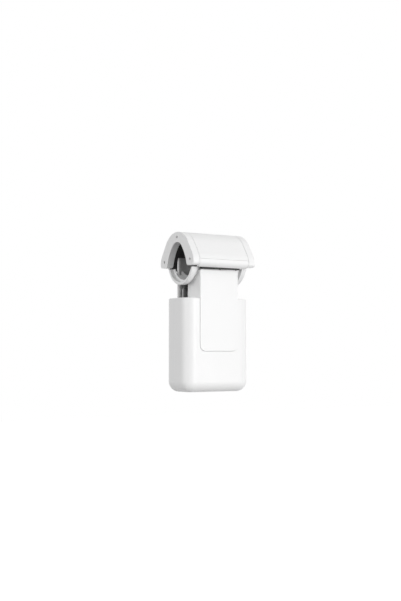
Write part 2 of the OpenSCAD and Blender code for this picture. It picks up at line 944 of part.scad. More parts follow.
module gear_plate() {
    color("white")
        difference() {
            union() {
                block([-tub_out, gear_plate_front, tub_foot], [tub_out, gear_plate_rear, body_top - 0.2]);
                block([-neck_inner_w / 2 + 0.2, gear_plate_front, body_top - 0.2],
                    [neck_inner_w / 2 - 0.2, gear_plate_rear, neck_top - 0.5]);
            }
            cradle_posts(0.2, gear_plate_front - over, gear_plate_rear + over);
            bar_x(hollow_r + 0.4, -neck_w, neck_w, 0, 0);
            bar_y(bush_r + press_gap, gear_plate_front - over, gear_plate_rear + over, 0, wheel_z);
            bar_y(motor_nose_r + slip_gap, gear_plate_front - over, gear_plate_rear + over, 0, motor_z);
            for (z = [first_z, second_z])
                bar_y(gear_pin_d / 2 + press_gap, gear_plate_front - over, gear_plate_rear + over, 0, z);
        }
}

// The box as one hollow shell, with every opening cut
module box_shell() {
    window = neck_w - 2 * plate_ledge;
    difference() {
        translate([0, body_mid_y, body_bottom])
            rounded_box(body_w, body_d, body_h, corner_r, foot_r, brow_r);
        translate([0, body_mid_y, body_bottom + wall])
            rounded_box(inner_w, body_d - 2 * wall, body_h - 2 * wall, corner_r - wall, foot_r - wall, 0.2);
        // Recess and window behind the plate
        along_y(plate_front - over, plate_back)
            plate_outline(neck_w + 2 * plate_gap, plate_foot - plate_gap, 0, plate_corner_r + plate_gap, 1);
        along_y(plate_front - over, plate_back + 3)
            plate_outline(window, plate_foot + plate_ledge, 0, plate_corner_r - plate_ledge, 1);
        // Room for the neck and for the arm's guide
        block([-window / 2, -body_front - over, body_top - wall - over],
            [window / 2, neck_rear - 0.4, body_top + over]);
        block([-guide_w / 2 - slip_gap, guide_front - slip_gap, body_top - wall - over],
            [guide_w / 2 + slip_gap, inner_back, body_top + over]);
        // Port, button, light and screws
        port_hole();
        bar_y(button_r + 0.15, inner_back - over, body_back + over, 0, button_z);
        bar_y(pipe_r + slip_gap, inner_back - over, body_back + over, pipe_x, button_z);
        for (x = [-foot_block_x, foot_block_x])
            for (y = body_screw_ys) {
                bar_z(body_screw_r + slip_gap, body_bottom - over, body_bottom + wall + over, x, y);
                bar_z(body_screw_head_r + 0.2, body_bottom - over, body_bottom + body_screw_sink, x, y);
            }
    }
}

// Hole for the charging port in the foot of the box
module port_hole() {
    half = port_w / 2 - port_t / 2;
    for (s = [-1, 1])
        bar_z(port_t / 2 + slip_gap, body_bottom - over, body_bottom + wall + over, s * half, port_y);
    block([-half, port_y - port_t / 2 - slip_gap, body_bottom - over],
        [half, port_y + port_t / 2 + slip_gap, body_bottom + wall + over]);
}

module body_front_shell() {
    color("white")
        intersection() {
            box_shell();
            block([-body_w, -2 * body_d, body_bottom - over], [body_w, body_mid_y, body_top + over]);
        }
}

module body_rear_shell() {
    color("white")
        intersection() {
            box_shell();
            block([-body_w, body_mid_y, body_bottom - over], [body_w, 2 * body_d, body_top + over]);
        }
}

module body_screws() {
    head = body_bottom + body_screw_sink;
    color("silver")
        for (x = [-foot_block_x, foot_block_x])
            for (y = body_screw_ys) {
                bar_z(body_screw_head_r, head - body_screw_head_t, head, x, y);
                bar_z(thread_r, head, foot_block_top - 1, x, y);
            }
}

module arm_guide() {
    slot_front = arm_in - rib_h - slot_gap;
    color("dimgray")
        difference() {
            union() {
                block([-guide_w / 2, guide_front, body_top - guide_depth],
                    [guide_w / 2, inner_back - 0.1, body_top]);
                block([-guide_w / 2 - guide_lip_w, guide_front - guide_lip_w, body_top],
                    [guide_w / 2 + guide_lip_w, inner_back + 0.4, body_top + guide_lip]);
            }
            block([-arm_w / 2 - slot_gap, slot_front, body_top - guide_depth - over],
                [arm_w / 2 + slot_gap, arm_out + slot_gap, body_top + guide_lip + over]);
        }
}

module chassis() {
    color("gray")
        difference() {
            union() {
                block([-chassis_w / 2, chassis_front, cell_foot - 3],
                    [chassis_w / 2, chassis_back, chassis_top]);
                for (s = [-1, 1]) {
                    // Battery ends
                    for (z = [cell_foot - holder_up - holder_t, cell_top + holder_up])
                        block([s * cell_x - holder_half, cell_y - holder_half, z],
                            [s * cell_x + holder_half, chassis_front + 0.5, z + holder_t]);
                    // Lugs over the springs
                    block([s * tab_x - lug_w / 2, chassis_front, lug_z],
                        [s * tab_x + lug_w / 2, lug_back, chassis_top]);
                    // Stops under the arm's tabs
                    block([s * tab_x - lug_w / 2, chassis_front, arm_foot - stop_gap - stop_t],
                        [s * tab_x + lug_w / 2, lug_back, arm_foot - stop_gap]);
                    // Feet for the screws
                    block([s * foot_block_x - foot_block_w / 2, foot_block_front, chassis_foot],
                        [s * foot_block_x + foot_block_w / 2, chassis_back + 1, foot_block_top]);
                    // Posts of the board
                    for (z = [board_foot + board_post_up, board_top - board_post_up])
                        bar_y(board_post_r, chassis_front, board_front, s * board_post_x, z);
                }
            }
            bar_y(motor_r + 0.4, chassis_front - over, chassis_back + over, 0, motor_z);
            for (s = [-1, 1])
                for (y = body_screw_ys)
                    bar_z(pilot_r, chassis_foot - over, foot_block_top - 0.8, s * foot_block_x, y);
        }
}

module drive_motor() {
    color("silver") {
        difference() {
            union() {
                bar_y(motor_r, gear_plate_rear, motor_back - end_cap_t, 0, motor_z);
                bar_y(motor_nose_r, gear_plate_front + 0.2, gear_plate_rear, 0, motor_z);
            }
            bar_y(motor_shaft_r + run_play, gear_plate_front - over, motor_back, 0, motor_z);
        }
    }
}

module motor_end_cap() {
    color("black")
        difference() {
            union() {
                bar_y(motor_r - 0.5, motor_back - end_cap_t, motor_back, 0, motor_z);
                for (s = [-1, 1])
                    bar_y(0.9, motor_back, lead_y + lead_r, s * terminal_x, motor_z);
            }
            bar_y(motor_shaft_r + run_play, motor_back - end_cap_t - over, motor_back - 0.8, 0, motor_z);
        }
}

module motor_leads() {
    lead_foot = board_top - 3;
    color("red")
        for (s = [-1, 1]) {
            bar_z(lead_r, lead_foot, motor_z - 0.9, s * terminal_x, lead_y);
            bar_y(lead_r, board_back, lead_y, s * terminal_x, lead_foot);
            translate([s * terminal_x, lead_y, lead_foot])
                sphere(lead_r, $fn = 24);
        }
}

module battery_cells() {
    color("steelblue")
        for (s = [-1, 1]) {
            bar_z(cell_r, cell_foot, cell_top - cell_cap_h, s * cell_x, cell_y);
            bar_z(cell_r * 0.45, cell_top - cell_cap_h, cell_top, s * cell_x, cell_y);
        }
}

module battery_contacts() {
    color("gold")
        for (s = [-1, 1])
            for (z = [cell_foot - contact_t - 0.05, cell_top + 0.05])
                block([s * cell_x - contact_half, cell_y - contact_half, z],
                    [s * cell_x + contact_half, cell_y + contact_half, z + contact_t]);
}

module main_board() {
    color("darkgreen")
        block([-board_w / 2, board_front, board_foot], [board_w / 2, board_back, board_top]);
}

module board_parts() {
    radio_x = radio_in - board_w / 2;
    chip_x = board_w / 2 - chip_in - chip_w;
    coil_x = radio_x + chip_w;
    color("black") {
        // Radio and chip behind the board, coil and capacitor in front of it
        block([radio_x, board_back, radio_z], [radio_x + radio_w, board_back + 1.6, radio_z + radio_h]);
        block([chip_x, board_back, radio_z + chip_w],
            [chip_x + chip_w, board_back + 1.2, radio_z + 2 * chip_w]);
        block([coil_x, board_front - 1.8, radio_z], [coil_x + coil_w, board_front, radio_z + coil_w]);
        bar_y(chip_w / 2, board_front - 2.2, board_front, chip_x, radio_z + chip_w / 2);
        block([pipe_x - light_half, board_back, button_z - light_half],
            [pipe_x + light_half, board_back + 0.8, button_z + light_half]);
    }
}

module usb_socket() {
    half = port_w / 2 - port_t / 2;
    inner_r = port_t / 2 - port_wall;
    foot = body_bottom + port_sink;
    tongue_x = half + port_wall;
    color("silver") {
        difference() {
            union() {
                for (s = [-1, 1])
                    bar_z(port_t / 2, foot, foot + port_deep, s * half, port_y);
                block([-half, port_y - port_t / 2, foot], [half, port_y + port_t / 2, foot + port_deep]);
            }
            for (s = [-1, 1])
                bar_z(inner_r, foot - over, foot + port_deep - 1, s * half, port_y);
            block([-half, port_y - inner_r, foot - over], [half, port_y + inner_r, foot + port_deep - 1]);
        }
        block([-tongue_x, port_y - tongue_t / 2, foot + 0.8],
            [tongue_x, port_y + tongue_t / 2, foot + port_deep - 0.5]);
    }
}

module switch_case() {
    color("dimgray")
        difference() {
            block([-switch_half, board_back, button_z - switch_half],
                [switch_half, switch_back, button_z + switch_half]);
            bar_y(plunger_r + slip_gap, switch_back - 2 * plunger_in, switch_back + over, 0, button_z);
        }
}

module switch_plunger() {
    color("black")
        bar_y(plunger_r, switch_back - plunger_in, switch_back + plunger_out, 0, button_z);
}

module pairing_button() {
    color("white") {
        bar_y(button_r, button_skin - 0.2, body_back + button_proud, 0, button_z);
        bar_y(button_flange_r, button_skin - button_flange_t - 0.2, button_skin - 0.2, 0, button_z);
        bar_y(plunger_r, switch_back + plunger_out + 0.1, button_skin - 1, 0, button_z);
    }
}

module light_pipe() {
    color("lightcyan")
        bar_y(pipe_r, board_back + 1.1, body_back - 0.1, pipe_x, button_z);
}

module gear_pins() {
    color("silver")
        for (z = [first_z, second_z])
            bar_y(gear_pin_d / 2, front_in - pin_sink + 0.1, gear_plate_rear, 0, z);
}

module wheel_bushes() {
    color("gold")
        for (span = [[gear_plate_front, gear_plate_rear], [rear_bush_front, cradle_rear - 0.8]])
            difference() {
                bar_y(bush_r, span[0], span[1], 0, wheel_z);
                bar_y(shaft_r + run_play, span[0] - over, span[1] + over, 0, wheel_z);
            }
}

module wheel_hub() {
    color("white")
        difference() {
            bar_y(hub_r, -wheel_w / 2, wheel_w / 2, 0, wheel_z);
            bar_y(shaft_r + press_gap, -wheel_w, wheel_w, 0, wheel_z);
        }
}

module drive_tyre() {
    color("black")
        waisted_wheel(tyre_waist_r, rim_r, hub_r + press_gap, wheel_w, wheel_z);
}

module wheel_shaft() {
    color("silver")
        bar_y(shaft_r, layer_a_front + 0.1, cradle_rear - 1, 0, wheel_z);
}

// Point of an involute that starts on the circle base, after it has unwound by a
function involute(base, a) = base * [cos(a) + a * PI / 180 * sin(a), sin(a) - a * PI / 180 * cos(a)];
function turned(p, a) = [p[0] * cos(a) - p[1] * sin(a), p[0] * sin(a) + p[1] * cos(a)];
// Angle by which an involute unwinds to reach radius r
function unwind(base, r) = sqrt(max(pow(r / base, 2) - 1, 0)) * 180 / PI;
// Polar angle of the involute's point at radius r
function lean(base, r) = unwind(base, r) - atan(unwind(base, r) * PI / 180);

// Outline of a gear with a tooth centred on the first axis
module gear_outline(teeth) {
    pitch = gear_m * teeth / 2;
    base = pitch * cos(pressure_angle);
    tip = pitch + gear_m * tooth_add;
    root = pitch - gear_m * tooth_root;
    half = 90 / teeth - tooth_play / pitch * 90 / PI + lean(base, pitch);
    start = max(root, base);
    steps = 3;
    radii = [for (i = [0 : steps]) start + (tip - start) * i / steps];
    low = [root * cos(half), -root * sin(half)];
    flank = [for (r = radii) turned(involute(base, unwind(base, r)), -half)];
    side = concat([low], flank);
    tooth = concat(side, [for (i = [len(side) - 1 : -1 : 0]) [side[i][0], -side[i][1]]]);
    polygon([for (k = [0 : teeth - 1]) for (p = tooth) turned(p, k * 360 / teeth)]);
}

// Gear that turns about Y at height z, with a tooth (phase 0) or gap (phase 0.5) pointing down
module gear(teeth, y0, y1, z, bore_r, phase) {
    difference() {
        along_y(y0, y1)
            translate([0, z])
                rotate(-90 + phase * 360 / teeth)
                    gear_outline(teeth);
        bar_y(bore_r, y0 - over, y1 + over, 0, z);
    }
}

// Phase that points a gap upwards, for a gear below its partner
function gap_up(teeth) = teeth % 2 == 0 ? 0.5 : 0;

module output_gear() {
    color("ivory")
        gear(wheel_teeth, layer_a_front, layer_a_rear, wheel_z, shaft_r + press_gap, 0);
}

module first_gear() {
    bore = gear_pin_d / 2 + run_play;
    color("ivory") {
        gear(small_teeth, layer_b_rear - 0.01, layer_a_rear, first_z, bore, gap_up(small_teeth));
        gear(first_teeth, layer_b_front, layer_b_rear, first_z, bore, 0);
    }
}

module second_gear() {
    bore = gear_pin_d / 2 + run_play;
    color("ivory") {
        gear(small_teeth, layer_b_front, layer_a_front + 0.01, second_z, bore, gap_up(small_teeth));
        gear(second_teeth, layer_a_front, layer_a_rear, second_z, bore, 0);
    }
}

module motor_shaft() {
    color("silver")
        bar_y(motor_shaft_r, layer_a_front + 0.1, motor_back - 1, 0, motor_z);
}

module motor_pinion() {
    bore = motor_shaft_r + press_gap;
    color("gold")
        gear(pinion_teeth, layer_a_front, layer_a_rear, motor_z, bore, gap_up(pinion_teeth));
}

hook_cover();
hook_end_cap_left();
hook_end_cap_right();
end_cap_screws();
hook_frame();
rod_saddle();
idler_roller_left();
idler_roller_right();
idler_axles();
hook_arm();
arm_screws();
return_springs();
guard_ring_left();
guard_ring_right();
neck_housing();
wheel_cradle();
cradle_screws();
front_plate();
gear_plate();
body_front_shell();
body_rear_shell();
body_screws();
arm_guide();
chassis();
drive_motor();
motor_end_cap();
motor_leads();
battery_cells();
battery_contacts();
main_board();
board_parts();
usb_socket();
switch_case();
light_pipe();
gear_pins();
wheel_bushes();
wheel_hub();
drive_tyre();
wheel_shaft();
output_gear();
first_gear();
second_gear();
motor_shaft();
motor_pinion();
pairing_button();
switch_plunger();
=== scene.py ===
"""Curtain robot: a horseshoe hook with rollers lies over a rod, and a box with a driven wheel hangs on it.
Shapes are drawn in millimetres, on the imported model's own axes, and scaled to metres at the end."""
import json
import math

import bmesh
import bpy
from mathutils import Matrix, Vector


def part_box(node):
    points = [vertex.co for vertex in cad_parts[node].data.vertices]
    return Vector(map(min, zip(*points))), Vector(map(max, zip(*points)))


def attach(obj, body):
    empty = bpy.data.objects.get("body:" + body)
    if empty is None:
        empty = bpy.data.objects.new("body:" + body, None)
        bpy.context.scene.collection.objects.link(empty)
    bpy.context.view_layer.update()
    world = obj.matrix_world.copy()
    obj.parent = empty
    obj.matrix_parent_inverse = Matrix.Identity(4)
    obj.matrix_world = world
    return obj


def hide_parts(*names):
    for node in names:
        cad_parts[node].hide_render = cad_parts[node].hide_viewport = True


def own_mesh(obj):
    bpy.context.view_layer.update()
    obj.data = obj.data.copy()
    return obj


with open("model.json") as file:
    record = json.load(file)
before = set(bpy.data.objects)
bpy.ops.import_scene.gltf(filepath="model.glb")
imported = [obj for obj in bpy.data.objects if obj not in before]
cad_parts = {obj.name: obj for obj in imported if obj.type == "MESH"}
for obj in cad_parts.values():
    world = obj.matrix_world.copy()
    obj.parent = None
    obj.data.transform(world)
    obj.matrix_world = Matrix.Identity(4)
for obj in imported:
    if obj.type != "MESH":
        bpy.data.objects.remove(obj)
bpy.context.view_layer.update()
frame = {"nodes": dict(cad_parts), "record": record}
MM = 0.001


# ---- Camera, light, floor ----

CAMERA_PLACE, CAMERA_LENS, SENSOR_WIDTH = (-0.5306, -0.8208, -0.0863), 59.9, 36
CAMERA_TURN, CAMERA_TILT = 32.48, 2.84
WORLD_STRENGTH, LAMP_TARGET = 0.6, (0, 0, -0.05)
# Each soft box: name, place, side, watts
LAMPS = [("front_low", (0.35, -1.3, -0.45), 0.8, 5.6), ("front_level", (0.35, -1.3, 0.1), 0.8, 6.8),
         ("left_side", (-1.3, -0.25, 0.05), 0.9, 4.0), ("right_side", (1.3, -0.4, 0.0), 0.9, 0.5)]
FLOOR_HALF, FLOOR_Z = 6, -0.6
FLOOR_TONE, FLOOR_ROUGHNESS = 0.3, 0.8
SEEN_FLOOR_TONE, SEEN_FLOOR_GLOW = 0.8, 0.55


def aim(obj, look):
    """Turns a camera or lamp so that it looks along a direction."""
    obj.rotation_mode = "QUATERNION"
    obj.rotation_quaternion = Vector(look).to_track_quat("-Z", "Y")


def stand_camera():
    """Camera at the photograph's viewing angle: from the front left, a little below the hook."""
    turn, tilt = math.radians(CAMERA_TURN), math.radians(CAMERA_TILT)
    data = bpy.data.cameras.new("camera")
    data.lens, data.sensor_width = CAMERA_LENS, SENSOR_WIDTH
    camera = bpy.data.objects.new("camera", data)
    camera.location = CAMERA_PLACE
    aim(camera, (math.cos(tilt) * math.sin(turn), math.cos(tilt) * math.cos(turn), math.sin(tilt)))
    bpy.context.scene.collection.objects.link(camera)
    bpy.context.scene.camera = camera


def softbox(name, place, size, energy):
    """Square soft lamp aimed at the middle of the robot."""
    data = bpy.data.lights.new(name, "AREA")
    data.shape, data.size, data.energy = "SQUARE", size, energy
    lamp = bpy.data.objects.new(name, data)
    lamp.location = place
    aim(lamp, Vector(LAMP_TARGET) - Vector(place))
    bpy.context.scene.collection.objects.link(lamp)


def seen_as_white(nodes, links, shader, light):
    """Camera, mirror and glass rays see plain white in place of the shader that lights the object."""
    path = nodes.new("ShaderNodeLightPath")
    seen = nodes.new("ShaderNodeMath")
    seen.operation = "MAXIMUM"
    links.new(path.outputs["Is Camera Ray"], seen.inputs[0])
    through = nodes.new("ShaderNodeMath")
    through.operation = "MAXIMUM"
    links.new(path.outputs["Is Glossy Ray"], through.inputs[0])
    links.new(path.outputs["Is Transmission Ray"], through.inputs[1])
    links.new(through.outputs[0], seen.inputs[1])
    mix = nodes.new("ShaderNodeMixShader")
    links.new(seen.outputs[0], mix.inputs[0])
    links.new(shader, mix.inputs[1])
    links.new(light, mix.inputs[2])
    return mix.outputs[0]


def light_the_studio():
    """Pale world and soft boxes, mostly from the front."""
    scene = bpy.context.scene
    scene.view_settings.view_transform = "Standard"
    world = bpy.data.worlds.new("studio")
    scene.world = world
    world.use_nodes = True
    nodes, links = world.node_tree.nodes, world.node_tree.links
    lit = nodes["Background"]
    lit.inputs["Color"].default_value = (1, 1, 1, 1)
    lit.inputs["Strength"].default_value = WORLD_STRENGTH
    white = nodes.new("ShaderNodeBackground")
    white.inputs["Color"].default_value = (1, 1, 1, 1)
    links.new(seen_as_white(nodes, links, lit.outputs[0], white.outputs[0]),
              nodes["World Output"].inputs["Surface"])
    for lamp in LAMPS:
        softbox(*lamp)


def lay_floor():
    """The robot hangs from a rod, so the floor lies well below it."""
    bm = bmesh.new()
    bmesh.ops.create_grid(bm, x_segments=1, y_segments=1, size=FLOOR_HALF)
    bmesh.ops.translate(bm, verts=bm.verts, vec=(0, 0, FLOOR_Z))
    mesh = bpy.data.meshes.new("floor")
    bm.to_mesh(mesh)
    bm.free()
    floor = bpy.data.objects.new("floor", mesh)
    bpy.context.scene.collection.objects.link(floor)
    mat = bpy.data.materials.new("pale_floor")
    mat.use_nodes = True
    nodes, links = mat.node_tree.nodes, mat.node_tree.links
    base = nodes["Principled BSDF"]
    base.inputs["Base Color"].default_value = tone(FLOOR_TONE)
    base.inputs["Roughness"].default_value = FLOOR_ROUGHNESS
    # The camera sees the lit floor with its shadow, brought up to white by a plain glow
    pale = nodes.new("ShaderNodeBsdfDiffuse")
    pale.inputs["Color"].default_value = tone(SEEN_FLOOR_TONE)
    glow = nodes.new("ShaderNodeEmission")
    glow.inputs["Strength"].default_value = SEEN_FLOOR_GLOW
    both = nodes.new("ShaderNodeAddShader")
    links.new(pale.outputs[0], both.inputs[0])
    links.new(glow.outputs[0], both.inputs[1])
    links.new(seen_as_white(nodes, links, base.outputs[0], both.outputs[0]),
              nodes["Material Output"].inputs["Surface"])
    mesh.materials.append(mat)


# ---- Surface effects shared by several materials ----

COLOUR, VALUE, VECTOR = "NodeSocketColor", "NodeSocketFloat", "NodeSocketVector"
# Part of the noise's range that a mask spreads over, and how scratches and clouds of metal are mixed to one mask
MASK_LOW, MASK_HIGH = 0.35, 0.65
SCRATCH_SHARE, SCRATCH_SHIFT = 0.7, 0.35
BUMP_HEIGHT = 0.00005


def new_group(name, inputs, outputs):
    """Empty shader node group with named sockets; each input is (name, kind, value)."""
    tree = bpy.data.node_groups.new(name, "ShaderNodeTree")
    for label, kind, value in inputs:
        socket = tree.interface.new_socket(label, in_out="INPUT", socket_type=kind)
        socket.default_value = value
    for label, kind in outputs:
        tree.interface.new_socket(label, in_out="OUTPUT", socket_type=kind)
    return tree, tree.nodes.new("NodeGroupInput"), tree.nodes.new("NodeGroupOutput")


def noise(tree, vector, scale, detail):
    """Noise between 0 and 1; its scale is a number or a socket."""
    node = tree.nodes.new("ShaderNodeTexNoise")
    node.inputs["Detail"].default_value = detail
    tree.links.new(vector, node.inputs["Vector"])
    if isinstance(scale, (int, float)):
        node.inputs["Scale"].default_value = scale
    else:
        tree.links.new(scale, node.inputs["Scale"])
    return node.outputs["Fac"]


def blend_values(tree, factor, low, high):
    """Value between two sockets, by a mask."""
    node = tree.nodes.new("ShaderNodeMapRange")
    tree.links.new(factor, node.inputs["Value"])
    node.inputs["From Min"].default_value = MASK_LOW
    node.inputs["From Max"].default_value = MASK_HIGH
    tree.links.new(low, node.inputs["To Min"])
    tree.links.new(high, node.inputs["To Max"])
    return node.outputs["Result"]


def blend_colours(tree, factor, first, second):
    """Colour between two sockets, by a mask."""
    node = tree.nodes.new("ShaderNodeMix")
    node.data_type = "RGBA"
    tree.links.new(factor, node.inputs["Factor"])
    tree.links.new(first, node.inputs["A"])
    tree.links.new(second, node.inputs["B"])
    return node.outputs["Result"]


def moulded_group():
    """Fine grain of a moulded or cast skin, with faint clouds in its colour and gloss."""
    tree, given, made = new_group("moulded_skin", [
        ("Colour", COLOUR, (0.8, 0.8, 0.8, 1)), ("Clouded colour", COLOUR, (0.7, 0.7, 0.7, 1)),
        ("Grain scale", VALUE, 2500.0), ("Cloud scale", VALUE, 60.0),
        ("Least roughness", VALUE, 0.3), ("Most roughness", VALUE, 0.45),
    ], [("Colour", COLOUR), ("Roughness", VALUE), ("Grain", VALUE)])
    place = tree.nodes.new("ShaderNodeTexCoord").outputs["Object"]
    grain = noise(tree, place, given.outputs["Grain scale"], 3.0)
    cloud = noise(tree, place, given.outputs["Cloud scale"], 4.0)
    tree.links.new(blend_colours(tree, cloud, given.outputs["Colour"], given.outputs["Clouded colour"]),
                   made.inputs["Colour"])
    tree.links.new(blend_values(tree, cloud, given.outputs["Least roughness"], given.outputs["Most roughness"]),
                   made.inputs["Roughness"])
    tree.links.new(grain, made.inputs["Grain"])
    return tree


def drawn_group():
    """Long fine scratches of rolled, drawn or turned metal, stretched by a vector, with cloudy gloss."""
    tree, given, made = new_group("drawn_skin", [
        ("Colour", COLOUR, (0.7, 0.7, 0.7, 1)), ("Scratched colour", COLOUR, (0.6, 0.6, 0.6, 1)),
        ("Stretch", VECTOR, (4000.0, 4000.0, 60.0)), ("Cloud scale", VALUE, 80.0),
        ("Least roughness", VALUE, 0.12), ("Most roughness", VALUE, 0.25),
    ], [("Colour", COLOUR), ("Roughness", VALUE), ("Grain", VALUE)])
    place = tree.nodes.new("ShaderNodeTexCoord").outputs["Object"]
    stretched = tree.nodes.new("ShaderNodeVectorMath")
    stretched.operation = "MULTIPLY"
    tree.links.new(place, stretched.inputs[0])
    tree.links.new(given.outputs["Stretch"], stretched.inputs[1])
    scratch = noise(tree, stretched.outputs["Vector"], 1.0, 4.0)
    cloud = noise(tree, place, given.outputs["Cloud scale"], 3.0)
    both = tree.nodes.new("ShaderNodeMath")
    both.operation = "MULTIPLY_ADD"
    tree.links.new(scratch, both.inputs[0])
    both.inputs[1].default_value = SCRATCH_SHARE
    tree.links.new(cloud, both.inputs[2])
    shifted = tree.nodes.new("ShaderNodeMath")
    shifted.operation = "SUBTRACT"
    tree.links.new(both.outputs[0], shifted.inputs[0])
    shifted.inputs[1].default_value = SCRATCH_SHIFT
    tree.links.new(blend_colours(tree, shifted.outputs[0], given.outputs["Colour"],
                                 given.outputs["Scratched colour"]), made.inputs["Colour"])
    tree.links.new(blend_values(tree, shifted.outputs[0], given.outputs["Least roughness"],
                                given.outputs["Most roughness"]), made.inputs["Roughness"])
    tree.links.new(scratch, made.inputs["Grain"])
    return tree


GROUPS = {"moulded": moulded_group(), "drawn": drawn_group()}


def finish(name, kind, values, bump, metallic=0.0, **plain):
    """Material with a shared skin effect. values go to the group, plain ones to the shader's own sockets."""
    mat = bpy.data.materials.new(name)
    mat.use_nodes = True
    nodes, links = mat.node_tree.nodes, mat.node_tree.links
    shader = nodes["Principled BSDF"]
    shader.inputs["Metallic"].default_value = metallic
    for label, value in plain.items():
        shader.inputs[label.replace("_", " ")].default_value = value
    skin = nodes.new("ShaderNodeGroup")
    skin.node_tree = GROUPS[kind]
    for label, value in values.items():
        skin.inputs[label].default_value = value
    links.new(skin.outputs["Colour"], shader.inputs["Base Color"])
    links.new(skin.outputs["Roughness"], shader.inputs["Roughness"])
    if bump:
        raised = nodes.new("ShaderNodeBump")
        raised.inputs["Strength"].default_value = bump
        raised.inputs["Distance"].default_value = BUMP_HEIGHT
        links.new(skin.outputs["Grain"], raised.inputs["Height"])
        links.new(raised.outputs["Normal"], shader.inputs["Normal"])
    return mat


def tone(value):
    """Plain grey."""
    return (value, value, value, 1)


def skin(colour, clouded, grain, cloud, least, most):
    """Values for the moulded effect: two colours, two scales, least and most roughness."""
    return {"Colour": colour, "Clouded colour": clouded, "Grain scale": grain, "Cloud scale": cloud,
            "Least roughness": least, "Most roughness": most}


def metal(colour, scratched, stretch, cloud, least, most):
    """Values for the drawn effect: two colours, stretch, scale of the clouds, least and most roughness."""
    return {"Colour": colour, "Scratched colour": scratched, "Stretch": stretch, "Cloud scale": cloud,
            "Least roughness": least, "Most roughness": most}


MATERIALS = {
    "white_plastic": finish("satin_white_plastic", "moulded",
                            skin(tone(0.885), tone(0.87), 2600, 45, 0.32, 0.4), 0.12),
    "dark_plastic": finish("dark_moulded_plastic", "moulded",
                           skin(tone(0.018), tone(0.026), 1800, 70, 0.5, 0.65), 0.3,
                           Specular_IOR_Level=0.3),
    # Painted shade: this grey stands for the shade that the wheel cradle lies in inside the rings; the cradle
    # itself is white plastic
    "grey_plastic": finish("grey_plastic_painted_shade", "moulded",
                           skin(tone(0.42), tone(0.39), 2200, 55, 0.38, 0.5), 0.2),
    "black_rubber": finish("black_rubber", "moulded",
                           skin(tone(0.022), tone(0.032), 1200, 90, 0.7, 0.85), 0.5),
    "gear_plastic": finish("ivory_gear_plastic", "moulded",
                           skin((0.74, 0.71, 0.62, 1), (0.7, 0.66, 0.56, 1), 2200, 80, 0.35, 0.5), 0.15),
    "lead_insulation": finish("red_lead_insulation", "moulded",
                              skin((0.5, 0.03, 0.02, 1), (0.42, 0.025, 0.02, 1), 900, 200, 0.4, 0.55), 0.2),
    "cell_wrap": finish("shrink_wrap", "moulded",
                        skin((0.05, 0.16, 0.36, 1), (0.04, 0.13, 0.3, 1), 500, 60, 0.25, 0.4), 0.2),
    "board_green": finish("board_lacquer", "moulded",
                          skin((0.015, 0.16, 0.06, 1), (0.03, 0.22, 0.09, 1), 700, 420, 0.25, 0.4), 0.4),
    "clear_plastic": finish("clear_light_pipe", "moulded",
                            skin(tone(0.92), tone(0.88), 2000, 90, 0.08, 0.16), 0.05,
                            Transmission_Weight=0.85, IOR=1.49),
    "polished_steel": finish("polished_steel", "drawn",
                             metal(tone(0.58), tone(0.52), (2500, 2500, 40), 60, 0.4, 0.5), 0.03, 0.8),
    "screw_steel": finish("screw_steel", "drawn",
                          metal(tone(0.45), tone(0.36), (900, 900, 900), 160, 0.25, 0.42), 0.15, 1.0),
    "motor_can": finish("plated_motor_can", "drawn",
                        metal(tone(0.56), tone(0.5), (900, 60, 900), 90, 0.22, 0.36), 0.12, 1.0),
    "gilt_contact": finish("gilt_contact", "drawn",
                           metal((0.78, 0.56, 0.22, 1), (0.7, 0.5, 0.2, 1), (700, 700, 200), 90, 0.2, 0.32),
                           0.1, 1.0),
    "bronze": finish("sintered_bronze", "drawn",
                     metal((0.52, 0.36, 0.17, 1), (0.44, 0.3, 0.14, 1), (1500, 1500, 1500), 200, 0.35, 0.5),
                     0.25, 1.0),
}


# ---- Drawing and shaping ----

X, Y, Z = Vector((1, 0, 0)), Vector((0, 1, 0)), Vector((0, 0, 1))
# For the plane square to an axis: its first axis, its second axis, what its arcs turn about, and the axis itself
PLANES = {"x": (Y, Z, X, X), "y": (X, Z, -Y, Y), "z": (X, Y, Z, Z)}
ALONG_X, ALONG_Y = Matrix.Rotation(math.pi / 2, 4, "Y"), Matrix.Rotation(math.pi / 2, 4, "X")
SAME, FINE, CLOSE = 1e-4, 1e-5, 0.01
SMOOTH_UP_TO = 32
CAD_SAME, FLAT_UP_TO, EASE_FROM = 1e-3, 0.5, 40


def draw(bm, plane, at, start, moves):
    """Closed outline in a plane square to the x, y or z axis, from lines and arcs; gives its edges.
    A line is its end point. An arc is (centre, degrees, steps), positive from the plane's first axis to the
    second."""
    across, up, normal, axis = PLANES[plane]

    def place(point):
        return across * point[0] + up * point[1] + axis * at

    before = set(bm.edges)
    last = bmesh.ops.create_vert(bm, co=place(start))["vert"][0]
    for move in moves:
        if len(move) == 2:
            last = bmesh.ops.extrude_vert_indiv(bm, verts=[last])["verts"][0]
            last.co = place(move)
        else:
            centre, degrees, steps = move
            spun = bmesh.ops.spin(bm, geom=[last], cent=place(centre), axis=normal,
                                  angle=math.radians(degrees), steps=steps, use_duplicate=False)
            last = [v for v in spun["geom_last"] if isinstance(v, bmesh.types.BMVert)][0]
    edges = [e for e in bm.edges if e not in before]
    verts = list({v for e in edges for v in e.verts})
    bmesh.ops.remove_doubles(bm, verts=verts, dist=SAME)
    return [e for e in bm.edges if e not in before]


def fill(bm, edges):
    """One flat face over a closed outline."""
    made = bmesh.ops.contextual_create(bm, geom=edges)
    return made["faces"][0]


def fill_between(bm, edges, normal):
    """Flat faces between an outer outline and the holes in it."""
    made = bmesh.ops.triangle_fill(bm, use_beauty=True, edges=edges, normal=Vector(normal))
    return [f for f in made["geom"] if isinstance(f, bmesh.types.BMFace)]


